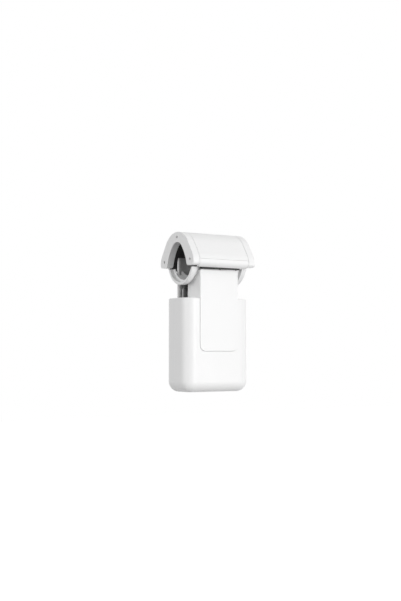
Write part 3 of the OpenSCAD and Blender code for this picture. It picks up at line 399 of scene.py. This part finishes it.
def pull(bm, faces, vec):
    """Extrudes faces along a vector."""
    made = bmesh.ops.extrude_face_region(bm, geom=list(faces), use_keep_orig=True)
    verts = [v for v in made["geom"] if isinstance(v, bmesh.types.BMVert)]
    bmesh.ops.translate(bm, verts=verts, vec=vec)


def pull_edges(bm, edges, vec, shrink=None):
    """Extrudes a loop of edges along a vector, and scales it about shrink's point by shrink's factor."""
    made = bmesh.ops.extrude_edge_only(bm, edges=edges)
    verts = [v for v in made["geom"] if isinstance(v, bmesh.types.BMVert)]
    bmesh.ops.translate(bm, verts=verts, vec=vec)
    if shrink:
        about, factor = Vector(shrink[0]), shrink[1]
        bmesh.ops.scale(bm, verts=verts, vec=factor, space=Matrix.Translation(-about))
    return [e for e in made["geom"] if isinstance(e, bmesh.types.BMEdge)]


def round_edges(bm, edges, radius, segments):
    """Rounds edges with a radius. Blender cuts it down for all of them when it finds no room at one of them."""
    if edges:
        bmesh.ops.bevel(bm, geom=list(edges), offset=radius, offset_type="OFFSET", segments=segments,
                        profile=0.5, affect="EDGES", material=-1, clamp_overlap=True)


def edges_of(verts):
    """Edges that meet at some points."""
    return list({e for v in verts for e in v.link_edges})


def everything(bm):
    """All points, edges and faces of a mesh."""
    return list(bm.verts) + list(bm.edges) + list(bm.faces)


def edges_at(bm, test):
    """Edges whose two ends both pass a test."""
    return [e for e in bm.edges if all(test(v.co) for v in e.verts)]


def sharp_edges(bm, degrees):
    """Edges at which two faces meet at more than an angle."""
    limit = math.radians(degrees)
    return [e for e in bm.edges if len(e.link_faces) == 2 and e.calc_face_angle(0) > limit]


def spin_round(bm, edges, centre, axis, steps):
    """Turns an outline into a closed ring about an axis."""
    bmesh.ops.spin(bm, geom=edges + list({v for e in edges for v in e.verts}), cent=centre, axis=axis,
                   angle=2 * math.pi, steps=steps, use_merge=True, use_duplicate=False)


def tidy(bm):
    """Merges points that coincide and turns all faces outwards."""
    bmesh.ops.remove_doubles(bm, verts=bm.verts, dist=SAME)
    bmesh.ops.recalc_face_normals(bm, faces=bm.faces)


def mirror_over(bm):
    """Turns a piece of the right side into the left side's."""
    bmesh.ops.scale(bm, verts=bm.verts, vec=(-1, 1, 1))
    bmesh.ops.recalc_face_normals(bm, faces=bm.faces)


def side_name(side):
    return "left" if side < 0 else "right"


def make_piece(name, bm, body, slot, nodes, degrees=SMOOTH_UP_TO):
    """Object from a mesh drawn in millimetres."""
    bmesh.ops.scale(bm, vec=(MM, MM, MM), verts=bm.verts)
    mesh = bpy.data.meshes.new(name)
    bm.to_mesh(mesh)
    bm.free()
    return place_piece(name, mesh, body, slot, nodes, degrees)


def place_piece(name, mesh, body, slot, nodes, degrees=SMOOTH_UP_TO):
    """Object that rides on a body and stands for its CAD nodes, shaded smooth up to an angle."""
    mesh.polygons.foreach_set("use_smooth", [True] * len(mesh.polygons))
    mesh.set_sharp_from_angle(angle=math.radians(degrees))
    mesh.materials.clear()
    mesh.materials.append(MATERIALS[slot])
    piece = bpy.data.objects.new(name, mesh)
    bpy.context.scene.collection.objects.link(piece)
    level = piece.modifiers.new("even_shading", "WEIGHTED_NORMAL")
    level.keep_sharp = True
    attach(piece, body)
    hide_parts(*nodes)
    return piece


def eased_copy(node, radius, body, slot):
    """Merged copy of a CAD node with its sharp edges eased, as far as Blender finds room for that."""
    bm = bmesh.new()
    bm.from_mesh(frame["nodes"][node].data)
    bmesh.ops.scale(bm, vec=(1 / MM, 1 / MM, 1 / MM), verts=bm.verts)
    bmesh.ops.remove_doubles(bm, verts=bm.verts, dist=CAD_SAME)
    bmesh.ops.dissolve_limit(bm, angle_limit=math.radians(FLAT_UP_TO), verts=bm.verts, edges=bm.edges)
    round_edges(bm, sharp_edges(bm, EASE_FROM), radius, 2)
    for layer in list(bm.loops.layers.uv):
        bm.loops.layers.uv.remove(layer)
    bmesh.ops.scale(bm, vec=(MM, MM, MM), verts=bm.verts)
    mesh = bpy.data.meshes.new(node + "_eased")
    bm.to_mesh(mesh)
    bm.free()
    if "custom_normal" in mesh.attributes:
        mesh.attributes.remove(mesh.attributes["custom_normal"])
    place_piece(node + "_eased", mesh, body, slot, [node])


# ---- Hook ----

# Lengths along the rod from the hook's middle: end of the cover, end of the caps, faces of the cap screws
COVER_X, HOOK_X, CAP_SCREW_X = 28.3, 35.2, 33.9
HOOK_HALF = 30.56
# Circles of the outline and of the mouth: radius, then centre
CROWN, SHOULDER = (25.0, (0.0, 2.4)), (15.0, (15.56, -2.9))
ROOF, SIDE, TURN = (10.9, (0.0, 6.7)), (44.0, (-24.6, -15.45)), 42.0
CAP_FOOT_Z, CAP_CORNER_R = -6.1, 3.2
CAP_RIM_EASE, CAP_MOUTH_EASE, CAP_RIM_FROM = 1.15, 0.35, 23.5
CAP_SCREWS = [(0.0, 22.3), (23.72, -0.4), (-23.72, -0.4)]
RECESS_R, RECESS_BORE, RECESS_LIP, RECESS_DEEP = 1.45, 1.3, 0.15, 2.25
COVER_FOOT_Z, COVER_CORNER_R, COVER_CORNER_TURN, COVER_END_Y, COVER_WALL = -7.5, 5.4, 80, 24.86, 2.0
GROOVE_HALF, GROOVE_DEEP, SEAM_EASE, SEAM_GAP = 0.3, 0.75, 0.2, 0.3


def on_circle(circle, degrees):
    """Point of a circle, given as (radius, centre)."""
    turn = math.radians(degrees)
    return circle[1][0] + circle[0] * math.cos(turn), circle[1][1] + circle[0] * math.sin(turn)


def mirrored(point):
    """The same point on the other side of the middle."""
    return -point[0], point[1]


def backwards(moves):
    """The same moves from the other side of the middle, which turns their arcs around."""
    return [mirrored(m) if len(m) == 2 else (mirrored(m[0]), -m[1], m[2]) for m in moves]


def mouth_corner():
    """Rounded inner corner of a leg: the angle on the mouth's side circle at which it ends, and its centre."""
    centre_z = CAP_FOOT_Z + CAP_CORNER_R
    start = math.degrees(math.asin((centre_z - SIDE[1][1]) / SIDE[0]))
    return start, (on_circle(SIDE, start)[0] + CAP_CORNER_R, centre_z)


def shoulder_start(inset, from_z):
    """Angle on the shoulder's circle at which it passes a height."""
    return math.degrees(math.asin((from_z - SHOULDER[1][1]) / (SHOULDER[0] - inset)))


def over_the_top(inset, from_z, groove=False):
    """Line of the hook from a height on its rear shoulder over the crown to the front one, drawn in by inset."""
    crown, shoulder = (CROWN[0] - inset, CROWN[1]), (SHOULDER[0] - inset, SHOULDER[1])
    start = shoulder_start(inset, from_z)
    run = Vector(shoulder[1]) - Vector(crown[1])
    lean = math.degrees(math.atan2(run.y, run.x) + math.acos((crown[0] - shoulder[0]) / run.length))
    rear = [(shoulder[1], lean - start, 24)]
    front = [(mirrored(shoulder[1]), lean - start, 24)]
    if groove:
        low_lip, high_lip = (math.degrees(math.asin((side - shoulder[1][1]) / shoulder[0]))
                             for side in (-GROOVE_HALF, GROOVE_HALF))
        bottom = on_circle((shoulder[0] - GROOVE_DEEP, shoulder[1]), (low_lip + high_lip) / 2)
        rear = [(shoulder[1], low_lip - start, 4), bottom, on_circle(shoulder, high_lip),
                (shoulder[1], lean - high_lip, 20)]
        front = [(mirrored(shoulder[1]), lean - high_lip, 20), mirrored(bottom),
                 mirrored(on_circle(shoulder, low_lip)), (mirrored(shoulder[1]), low_lip - start, 4)]
    top = [on_circle(crown, lean), (crown[1], 180 - 2 * lean, 36), mirrored(on_circle(shoulder, lean))]
    return rear + top + front


def cover_line(inset, groove=False):
    """Line of the cover from its rear foot over the crown to its front foot, drawn in by inset."""
    centre, foot = (HOOK_HALF - COVER_CORNER_R, COVER_FOOT_Z + COVER_CORNER_R), COVER_FOOT_Z + inset
    corner, shoulder = (COVER_CORNER_R - inset, centre), (SHOULDER[0] - inset, SHOULDER[1])
    line = [(COVER_END_Y, foot), (centre[0], foot), (centre, COVER_CORNER_TURN, 8),
            on_circle(shoulder, shoulder_start(inset, centre[1]))]
    line += over_the_top(inset, centre[1], groove)
    return line + [mirrored(on_circle(corner, COVER_CORNER_TURN - 90)), (mirrored(centre), COVER_CORNER_TURN, 8),
                   (-COVER_END_Y, foot)]


def build_cover():
    """Cover of the hook: one bent wall over the crown and both legs, with a fine line along each leg."""
    outside, inside = cover_line(0, groove=True), backwards(cover_line(COVER_WALL))
    bm = bmesh.new()
    half = COVER_X - SEAM_GAP
    end = fill(bm, draw(bm, "x", -half, outside[0], outside[1:] + inside + outside[:1]))
    pull(bm, [end], (2 * half, 0, 0))
    tidy(bm)
    ends = [e for e in sharp_edges(bm, 60) if abs(e.verts[0].co.x - e.verts[1].co.x) < CLOSE]
    round_edges(bm, ends, SEAM_EASE, 2)
    make_piece("cover_of_hook", bm, "hook", "white_plastic", ["hook_cover"])


def build_cap(side):
    """End cap: a horseshoe block with three screw recesses. The roundings asked for at its rim, mouth and seam
    come out at nearly nothing, because its outline closes with an edge of 0.0001 mm."""
    start, corner = mouth_corner()
    outer_corner = (HOOK_HALF - CAP_CORNER_R, CAP_FOOT_Z + CAP_CORNER_R)
    side_rise = TURN - start
    moves = [(outer_corner[0], CAP_FOOT_Z), (outer_corner, 90, 6)] + over_the_top(0, outer_corner[1])
    moves += [(mirrored(outer_corner), 90, 6), (-corner[0], CAP_FOOT_Z),
              (mirrored(corner), 90, 6), (mirrored(SIDE[1]), -side_rise, 22), (ROOF[1], 2 * TURN - 180, 24),
              (SIDE[1], -side_rise, 22), (corner, 90, 6)]
    bm = bmesh.new()
    inner_face = fill(bm, draw(bm, "x", COVER_X, (corner[0], CAP_FOOT_Z), moves))
    pull(bm, [inner_face], (HOOK_X - COVER_X, 0, 0))
    tidy(bm)
    for radius, segments, outside in ((CAP_RIM_EASE, 5, True), (CAP_MOUTH_EASE, 2, False)):
        rim = []
        for e in edges_at(bm, lambda co: abs(co.x - HOOK_X) < CLOSE):
            middle = (e.verts[0].co + e.verts[1].co) / 2
            if (math.hypot(middle.y, middle.z) > CAP_RIM_FROM) == outside:
                rim.append(e)
        round_edges(bm, rim, radius, segments)
    round_edges(bm, edges_at(bm, lambda co: abs(co.x - COVER_X) < CLOSE), SEAM_EASE, 2)
    end_faces = [f for f in bm.faces if f.normal.x > 0.99 and f.calc_center_median().x > HOOK_X - CLOSE]
    face = max(end_faces, key=lambda f: f.calc_area())
    border = list(face.edges)
    bmesh.ops.delete(bm, geom=[face], context="FACES_ONLY")
    rims = []
    for y, z in CAP_SCREWS:
        made = bmesh.ops.create_circle(bm, segments=32, radius=RECESS_R,
                                       matrix=Matrix.Translation((HOOK_X, y, z)) @ ALONG_X)
        rims.append((edges_of(made["verts"]), (HOOK_X, y, z)))
    fill_between(bm, border + [e for edges, _ in rims for e in edges], (1, 0, 0))
    taper = RECESS_BORE / RECESS_R
    for edges, centre in rims:
        lip = pull_edges(bm, edges, (-RECESS_LIP, 0, 0), (centre, (1, taper, taper)))
        fill(bm, pull_edges(bm, lip, (-RECESS_DEEP, 0, 0)))
    tidy(bm)
    if side < 0:
        mirror_over(bm)
    name = side_name(side)
    make_piece(f"end_cap_{name}", bm, "hook", "white_plastic", [f"hook_end_cap_{name}"])


# ---- Screws ----

# Shares of a screw: its head's eased edge to the radius, its recess's depth to the height, the recess's taper
HEAD_EDGE, CROSS_DEEP, CROSS_TAPER = 0.12, 0.55, 0.8
FOOT_SCREW_X, FOOT_SCREW_Y, FOOT_SCREW_Z = 21, (-6, 5.35), -126.1
REAR_SCREW_X, REAR_SCREW_Y, REAR_SCREW_Z = 17, 12.6, -16.8


def screw_mesh(radius, height, shank_r, shank_len, slot_half, slot_arm):
    """Round-headed screw with a cross recess, its head's face at z = 0 and its shank down -Z."""
    bm = bmesh.new()
    a, b = slot_half, slot_arm
    cross = draw(bm, "z", 0, (b, -a), [(b, a), (a, a), (a, b), (-a, b), (-a, a), (-b, a), (-b, -a), (-a, -a),
                                       (-a, -b), (a, -b), (a, -a), (b, -a)])
    edge = HEAD_EDGE * radius
    rim = bmesh.ops.create_circle(bm, segments=24, radius=radius - edge)
    rim_edges = edges_of(rim["verts"])
    fill_between(bm, cross + rim_edges, (0, 0, 1))
    sunk = pull_edges(bm, cross, (0, 0, -CROSS_DEEP * height), ((0, 0, 0), (CROSS_TAPER, CROSS_TAPER, 1)))
    fill(bm, sunk)
    ring = pull_edges(bm, rim_edges, (0, 0, -edge), ((0, 0, 0), (radius / (radius - edge),) * 2 + (1,)))
    ring = pull_edges(bm, ring, (0, 0, -(height - edge)))
    ring = pull_edges(bm, ring, (0, 0, 0), ((0, 0, 0), (shank_r / radius,) * 2 + (1,)))
    ring = pull_edges(bm, ring, (0, 0, -shank_len))
    fill(bm, ring)
    tidy(bm)
    mesh = bpy.data.meshes.new("screw")
    bm.to_mesh(mesh)
    bm.free()
    return mesh


def repeated(mesh, places):
    """One mesh copied to several places; each is (point, direction that its top faces)."""
    bm = bmesh.new()
    for point, facing in places:
        before = len(bm.verts)
        bm.from_mesh(mesh)
        bm.verts.ensure_lookup_table()
        turn = Vector((0, 0, 1)).rotation_difference(Vector(facing)).to_matrix().to_4x4()
        bmesh.ops.transform(bm, matrix=Matrix.Translation(point) @ turn, verts=bm.verts[before:])
    return bm


def build_screws():
    """Screws of the end caps, of the box's foot and of the wheel's cradle."""
    cap_screw = screw_mesh(radius=1.2, height=1.0, shank_r=0.75, shank_len=7.1, slot_half=0.17, slot_arm=0.72)
    places = [((side * CAP_SCREW_X, y, z), (side, 0, 0)) for side in (-1, 1) for y, z in CAP_SCREWS]
    make_piece("cap_screws", repeated(cap_screw, places), "hook", "screw_steel", ["end_cap_screws"])
    foot_screw = screw_mesh(radius=2.0, height=0.7, shank_r=0.8, shank_len=5.1, slot_half=0.25, slot_arm=1.2)
    places = [((side * FOOT_SCREW_X, y, FOOT_SCREW_Z), (0, 0, -1)) for side in (-1, 1) for y in FOOT_SCREW_Y]
    make_piece("foot_screws", repeated(foot_screw, places), "housing", "screw_steel", ["body_screws"])
    rear_screw = screw_mesh(radius=1.8, height=1.5, shank_r=0.8, shank_len=15.6, slot_half=0.24, slot_arm=1.1)
    places = [((side * REAR_SCREW_X, REAR_SCREW_Y, REAR_SCREW_Z), (0, 1, 0)) for side in (-1, 1)]
    make_piece("saddle_screws", repeated(rear_screw, places), "housing", "screw_steel", ["cradle_screws"])


# ---- Wheels ----

GRIP_R = 12.6
WHEEL_HALF, WHEEL_EASE = 7.5, 0.2
WHEEL_Z, WHEEL_RIM_R, WHEEL_BORE_R, WHEEL_STEPS = -21.6, 11.18, 6.02, 72
ROLLER_X, ROLLER_Z, ROLLER_RIM_R, ROLLER_BORE_R, ROLLER_STEPS = 18, 16.5, 6.17, 1.3, 48
# One step in three round the wheel is a groove
GROOVE_EVERY, GROOVE_EDGE, GROOVE_SUNK = 3, 0.1, 0.3


def build_wheel(name, centre, rim_r, bore_r, toward_rod, steps, body, node):
    """Rubber wheel on an axis along Y with a waist that fits the rod, and cross grooves in its tread."""
    x, axle_z = centre
    rim_z = axle_z + toward_rod * rim_r
    rim_y = math.sqrt(GRIP_R ** 2 - rim_z ** 2)
    low = math.degrees(math.atan2(rim_z, -rim_y))
    sweep = math.degrees(math.atan2(rim_z, rim_y)) - low
    bm = bmesh.new()
    half, shy, bore_z = WHEEL_HALF, WHEEL_EASE * toward_rod, axle_z + toward_rod * bore_r
    profile = draw(bm, "x", x, (-half, bore_z), [
        (-half, rim_z - shy), (-half + WHEEL_EASE, rim_z), (-rim_y, rim_z), ((0, 0), sweep, 14),
        (half - WHEEL_EASE, rim_z), (half, rim_z - shy), (half, bore_z), (-half, bore_z)])
    spin_round(bm, profile, (x, 0, axle_z), (0, 1, 0), steps)
    tidy(bm)
    tread = []
    for f in bm.faces:
        middle = f.calc_center_median()
        out = Vector((middle.x - x, 0, middle.z - axle_z))
        step = int(math.degrees(math.atan2(out.x, out.z)) % 360 / (360 / steps))
        on_waist = abs(middle.y) < rim_y - WHEEL_EASE and f.normal.dot(out.normalized()) > 0.4
        if on_waist and step % GROOVE_EVERY == 0:
            tread.append(f)
    bmesh.ops.inset_region(bm, faces=tread, thickness=GROOVE_EDGE, depth=-GROOVE_SUNK, use_even_offset=True)
    make_piece(name, bm, body, "black_rubber", [node])


def build_wheels():
    """Driven wheel below the rod, two rollers above it."""
    build_wheel("driven_tyre", (0, WHEEL_Z), WHEEL_RIM_R, WHEEL_BORE_R, 1, WHEEL_STEPS, "drive_wheel", "drive_tyre")
    for side in (-1, 1):
        name = side_name(side)
        build_wheel(f"{name}_roller", (side * ROLLER_X, ROLLER_Z), ROLLER_RIM_R, ROLLER_BORE_R, -1, ROLLER_STEPS,
                    f"{name}_idler", f"idler_roller_{name}")


# ---- Neck ----

RING_IN, RING_OUT, RING_X, RING_W = 20.8, 23.4, 31.2, 5.3
WEB_IN, WEB_OUT, FLANGE_OUT, FLANGE_W = 18.4, 19.7, 21.2, 1.1
NECK_HALF, RING_TIP_Z, WEB_REAR = 21.6, -7.3, 13.8
# Pegs that hold a ring's web in the neck's side: angles from the front, distance from the rod's axis, radius
# and length, and how far their middles lie inside the neck
PEG_ANGLES, PEG_FROM_ROD, PEG_R, PEG_LONG, PEG_IN = (-120, -73), 19.95, 1.0, 1.6, 0.4
PLATE_LOW_R, PLATE_TOP_R, PLATE_EASE = 6.0, 1.5, 0.55


def ring_shell(bm, x0, x1, r0, r1, front, rear, easing):
    """Part of a ring about the rod: a rounded section turned from front to rear, in degrees from straight
    down."""
    section = draw(bm, "y", 0, (x0, -r1), [(x1, -r1), (x1, -r0), (x0, -r0), (x0, -r1)])
    corners = list({v for e in section for v in e.verts})
    bmesh.ops.bevel(bm, geom=corners, offset=easing, offset_type="OFFSET", segments=4, profile=0.5,
                    affect="VERTICES", material=-1)
    live = [e for e in bm.edges if not e.link_faces]
    verts = list({v for e in live for v in e.verts})
    bmesh.ops.rotate(bm, verts=verts, cent=(0, 0, 0), matrix=Matrix.Rotation(math.radians(front), 3, "X"))
    first = fill(bm, live)
    bmesh.ops.spin(bm, geom=[first] + list(first.edges) + list(first.verts), cent=(0, 0, 0), axis=(1, 0, 0),
                   angle=math.radians(rear - front), steps=48, use_duplicate=False)


def build_ring(side):
    """Guard ring: a half ring about the rod with an inner flange, held on the neck by a narrower web."""
    tip, flange_tip, web_tip = (math.degrees(math.acos(-RING_TIP_Z / radius))
                                for radius in (RING_OUT, FLANGE_OUT, WEB_OUT))
    web_end = math.degrees(math.asin(WEB_REAR / WEB_OUT))
    flange_x = RING_X - RING_W
    bm = bmesh.new()
    ring_shell(bm, flange_x, RING_X, RING_IN, RING_OUT, -tip, tip, 0.45)
    ring_shell(bm, flange_x + 0.1, flange_x + FLANGE_W, WEB_IN, FLANGE_OUT, -flange_tip, flange_tip, 0.25)
    ring_shell(bm, NECK_HALF, flange_x + FLANGE_W / 2, WEB_IN, WEB_OUT, -web_tip, web_end, 0.25)
    bmesh.ops.bisect_plane(bm, geom=everything(bm), dist=FINE, plane_co=(0, 0, RING_TIP_Z),
                           plane_no=(0, 0, 1), clear_outer=True)
    open_edges = [e for e in bm.edges if len(e.link_faces) == 1]
    bmesh.ops.holes_fill(bm, edges=open_edges)
    tidy(bm)
    for angle in PEG_ANGLES:
        place = (NECK_HALF - PEG_IN, *on_circle((PEG_FROM_ROD, (0, 0)), angle))
        bmesh.ops.create_cone(bm, cap_ends=True, segments=20, radius1=PEG_R, radius2=PEG_R, depth=PEG_LONG,
                              matrix=Matrix.Translation(place) @ ALONG_X)
    if side < 0:
        mirror_over(bm)
    name = side_name(side)
    make_piece(f"ring_{name}", bm, "housing", "white_plastic", [f"guard_ring_{name}"])


def build_plate():
    """Long front plate with softly rounded front edges and large lower corners."""
    low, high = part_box("front_plate")
    half, foot, top = high.x / MM, low.z / MM, high.z / MM
    back, front = high.y / MM, low.y / MM
    r, t = PLATE_LOW_R, PLATE_TOP_R
    bm = bmesh.new()
    outline = draw(bm, "y", back, (half - t, top), [
        ((half - t, top - t), -90, 6), (half, foot + r), ((half - r, foot + r), -90, 12), (-half + r, foot),
        ((-half + r, foot + r), -90, 12), (-half, top - t), ((-half + t, top - t), -90, 6), (half - t, top)])
    rear = fill(bm, outline)
    pull(bm, [rear], (0, front - back, 0))
    tidy(bm)
    round_edges(bm, edges_at(bm, lambda co: abs(co.y - front) < CLOSE), PLATE_EASE, 4)
    make_piece("cover_plate", bm, "housing", "white_plastic", ["front_plate"])


# ---- Steel arm and its springs ----

ARM_HALF, ARM_TOP, ARM_FOOT, ARM_FRONT, ARM_BACK = 24.3, 9.0, -100.0, 15.2, 17.2
ARM_TOP_R, ARM_FOOT_R, ARM_EDGE = 2, 1, 0.3
BEAD_X, BEAD_R, BEAD_TOP, BEAD_FOOT = 16.3, 3.2, -27.2, -92.0
BEAD_HIGH, BEAD_WIDE, BEAD_STEPS = 0.8, 2.7, 7
# Where the rolled margins start, how far they bend back, and where they are cut, as shares of their width
FLAT_HALF, MARGIN_DEEP = 19.7, 1.6
MARGIN_CUTS = (0.0, 0.3, 0.52, 0.7, 0.83, 0.92, 0.97)
TAB_X, TAB_Y, TAB_Z, TAB_SIZE = 19.8, 11.25, -99.0, (9, 8.9, 2)
SPRING_Y, SPRING_FOOT, SPRING_TOP, SPRING_TURNS, WIRE_R, COIL_R = 10.3, -98.0, -49.0, 11, 0.35, 3.25
PIN_Z, PIN_LOW_R, PIN_TOP_R, PIN_LONG = -95.7, 2.5, 2.1, 5.4


def roll_margins(bm, face_y, flat_half, half, depth):
    """Bends the long margins of a plate's front face back to a rounded edge."""
    for share in MARGIN_CUTS:
        cut_x = flat_half + share * (half - flat_half)
        for side in (-1, 1):
            bmesh.ops.bisect_plane(bm, geom=everything(bm), dist=SAME, plane_co=(side * cut_x, 0, 0),
                                   plane_no=(1, 0, 0))
    for v in bm.verts:
        share = (abs(v.co.x) - flat_half) / (half - flat_half)
        if share > 0 and v.co.y < face_y + 0.5:
            v.co.y += depth * (1 - math.sqrt(max(0.0, 1 - share ** 2)))


def bead(bm, edges, outward, steps, height, width):
    """Pressed bead: a closed outline raised in steps towards a rounded top."""
    face = fill(bm, edges)
    if face.normal.dot(outward) < 0:
        bmesh.ops.reverse_faces(bm, faces=[face])
    done = 0.0
    for i in range(1, steps + 1):
        last_turn, turn = math.pi / 2 * (i - 1) / steps, math.pi / 2 * i / steps
        rise = height * math.sin(turn)
        bmesh.ops.inset_region(bm, faces=[face], thickness=width * (math.cos(last_turn) - math.cos(turn)),
                               depth=rise - done, use_even_offset=True)
        done = rise


def build_arm():
    """Steel arm: a plate with two pressed beads, and two tabs at its foot with a pin each for the springs."""
    bm = bmesh.new()
    side_x, top_x, foot_x = ARM_HALF, ARM_HALF - ARM_TOP_R, ARM_HALF - ARM_FOOT_R
    high, low = ARM_TOP - ARM_TOP_R, ARM_FOOT + ARM_FOOT_R
    rims = []
    for y, outward, height in ((ARM_FRONT, -Y, BEAD_HIGH), (ARM_BACK, Y, -BEAD_HIGH)):
        rim = draw(bm, "y", y, (side_x, low), [
            (side_x, high), ((top_x, high), 90, 5), (-top_x, ARM_TOP), ((-top_x, high), 90, 5),
            (-side_x, low), ((-foot_x, low), 90, 4), (foot_x, ARM_FOOT), ((foot_x, low), 90, 4)])
        beads = []
        for x in (-BEAD_X, BEAD_X):
            beads.append(draw(bm, "y", y, (x + BEAD_R, BEAD_FOOT), [
                (x + BEAD_R, BEAD_TOP), ((x, BEAD_TOP), 180, 16), (x - BEAD_R, BEAD_FOOT),
                ((x, BEAD_FOOT), 180, 16)]))
        fill_between(bm, rim + [e for b in beads for e in b], outward)
        for b in beads:
            bead(bm, b, outward, BEAD_STEPS, height, BEAD_WIDE)
        rims.append(rim)
    bmesh.ops.bridge_loops(bm, edges=rims[0] + rims[1])
    tidy(bm)
    at_back = [e for e in sharp_edges(bm, 60) if all(abs(v.co.y - ARM_BACK) < CLOSE for v in e.verts)]
    round_edges(bm, at_back, ARM_EDGE, 2)
    roll_margins(bm, ARM_FRONT, FLAT_HALF, ARM_HALF, MARGIN_DEEP)
    for x in (-TAB_X, TAB_X):
        tab = bmesh.ops.create_cube(bm, size=1, matrix=Matrix.Translation((x, TAB_Y, TAB_Z))
                                    @ Matrix.Diagonal((*TAB_SIZE, 1)))
        round_edges(bm, edges_of(tab["verts"]), ARM_EDGE, 2)
        bmesh.ops.create_cone(bm, cap_ends=True, segments=24, radius1=PIN_LOW_R, radius2=PIN_TOP_R,
                              depth=PIN_LONG, matrix=Matrix.Translation((x, SPRING_Y, PIN_Z)))
    make_piece("steel_arm", bm, "hook", "polished_steel", ["hook_arm"], 28)


def build_springs():
    """Two wound springs between the arm's tabs and the lugs over them. The box squashes them as it is pulled down;
    here they are drawn in one shape.
    """
    bm = bmesh.new()
    foot = SPRING_FOOT
    steps = SPRING_TURNS * 20
    rise = (SPRING_TOP - foot - 2 * WIRE_R) / steps
    for x in (-TAB_X, TAB_X):
        made = bmesh.ops.create_circle(bm, segments=8, radius=WIRE_R, cap_ends=True,
                                       matrix=Matrix.Translation((x + COIL_R, SPRING_Y, foot + WIRE_R)) @ ALONG_Y)
        face = made["verts"][0].link_faces[0]
        bmesh.ops.spin(bm, geom=[face] + list(face.edges) + list(face.verts), cent=(x, SPRING_Y, 0),
                       axis=(0, 0, 1), dvec=(0, 0, rise), angle=math.radians(360 * SPRING_TURNS), steps=steps,
                       use_duplicate=False)
    tidy(bm)
    piece = make_piece("wound_springs", bm, "hook", "screw_steel", ["return_springs"], 60)
    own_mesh(piece)


# ---- Button ----

# Along Y: end of the stem, the flange's two faces, start of the cap's rim, centre of its dish
BUTTON_Z = -111.0
STEM_Y, FLANGE_Y, CAP_Y, RIM_Y, DISH_Y = 15.7, 16.2, 17.2, 19.6, 41.45
STEM_R, FLANGE_R, BUTTON_R, BUTTON_RIM_R, DISH_R = 1.6, 5.2, 4.0, 0.4, 21.75


def build_button():
    """Pairing button: a dished cap with a rounded rim on a flange and a short stem."""
    z, face_r = BUTTON_Z, BUTTON_R - BUTTON_RIM_R
    bm = bmesh.new()
    dish = math.degrees(math.asin(face_r / DISH_R))
    profile = draw(bm, "x", 0, (STEM_Y, z), [
        (STEM_Y, z + STEM_R), (FLANGE_Y, z + STEM_R), (FLANGE_Y, z + FLANGE_R), (CAP_Y, z + FLANGE_R),
        (CAP_Y, z + BUTTON_R), (RIM_Y, z + BUTTON_R), ((RIM_Y, z + face_r), -90, 4), ((DISH_Y, z), dish, 6)])
    spin_round(bm, profile, (0, 0, z), (0, 1, 0), 48)
    tidy(bm)
    make_piece("round_button", bm, "button", "white_plastic", ["pairing_button"])


# ---- All together ----

# CAD nodes shown as merged copies: node, radius asked for its edges, body, slot. The front shell's and the
# neck's edges are eased. On the rear shell, the cradle and the frame the radius comes out at nearly nothing.
EASED = [("body_front_shell", 0.15, "housing", "white_plastic"),
         ("body_rear_shell", 0.15, "housing", "white_plastic"),
         ("neck_housing", 0.2, "housing", "white_plastic"),
         # The wheel cradle is white plastic; its grey is painted shade
         ("wheel_cradle", 0.3, "housing", "grey_plastic"),
         ("hook_frame", 0.15, "hook", "dark_plastic")]


def dress_cad_nodes():
    """Gives every CAD node its finish by the record's slot."""
    slots = {part["node"]: part["material_slot"] for part in frame["record"]["subparts"]}
    for node, obj in frame["nodes"].items():
        obj.data.materials.clear()
        obj.data.materials.append(MATERIALS[slots[node]])


stand_camera()
light_the_studio()
lay_floor()
dress_cad_nodes()
build_cover()
for side in (-1, 1):
    build_cap(side)
    build_ring(side)
build_screws()
build_wheels()
build_plate()
build_arm()
build_springs()
build_button()
for node, radius, body, slot in EASED:
    eased_copy(node, radius, body, slot)
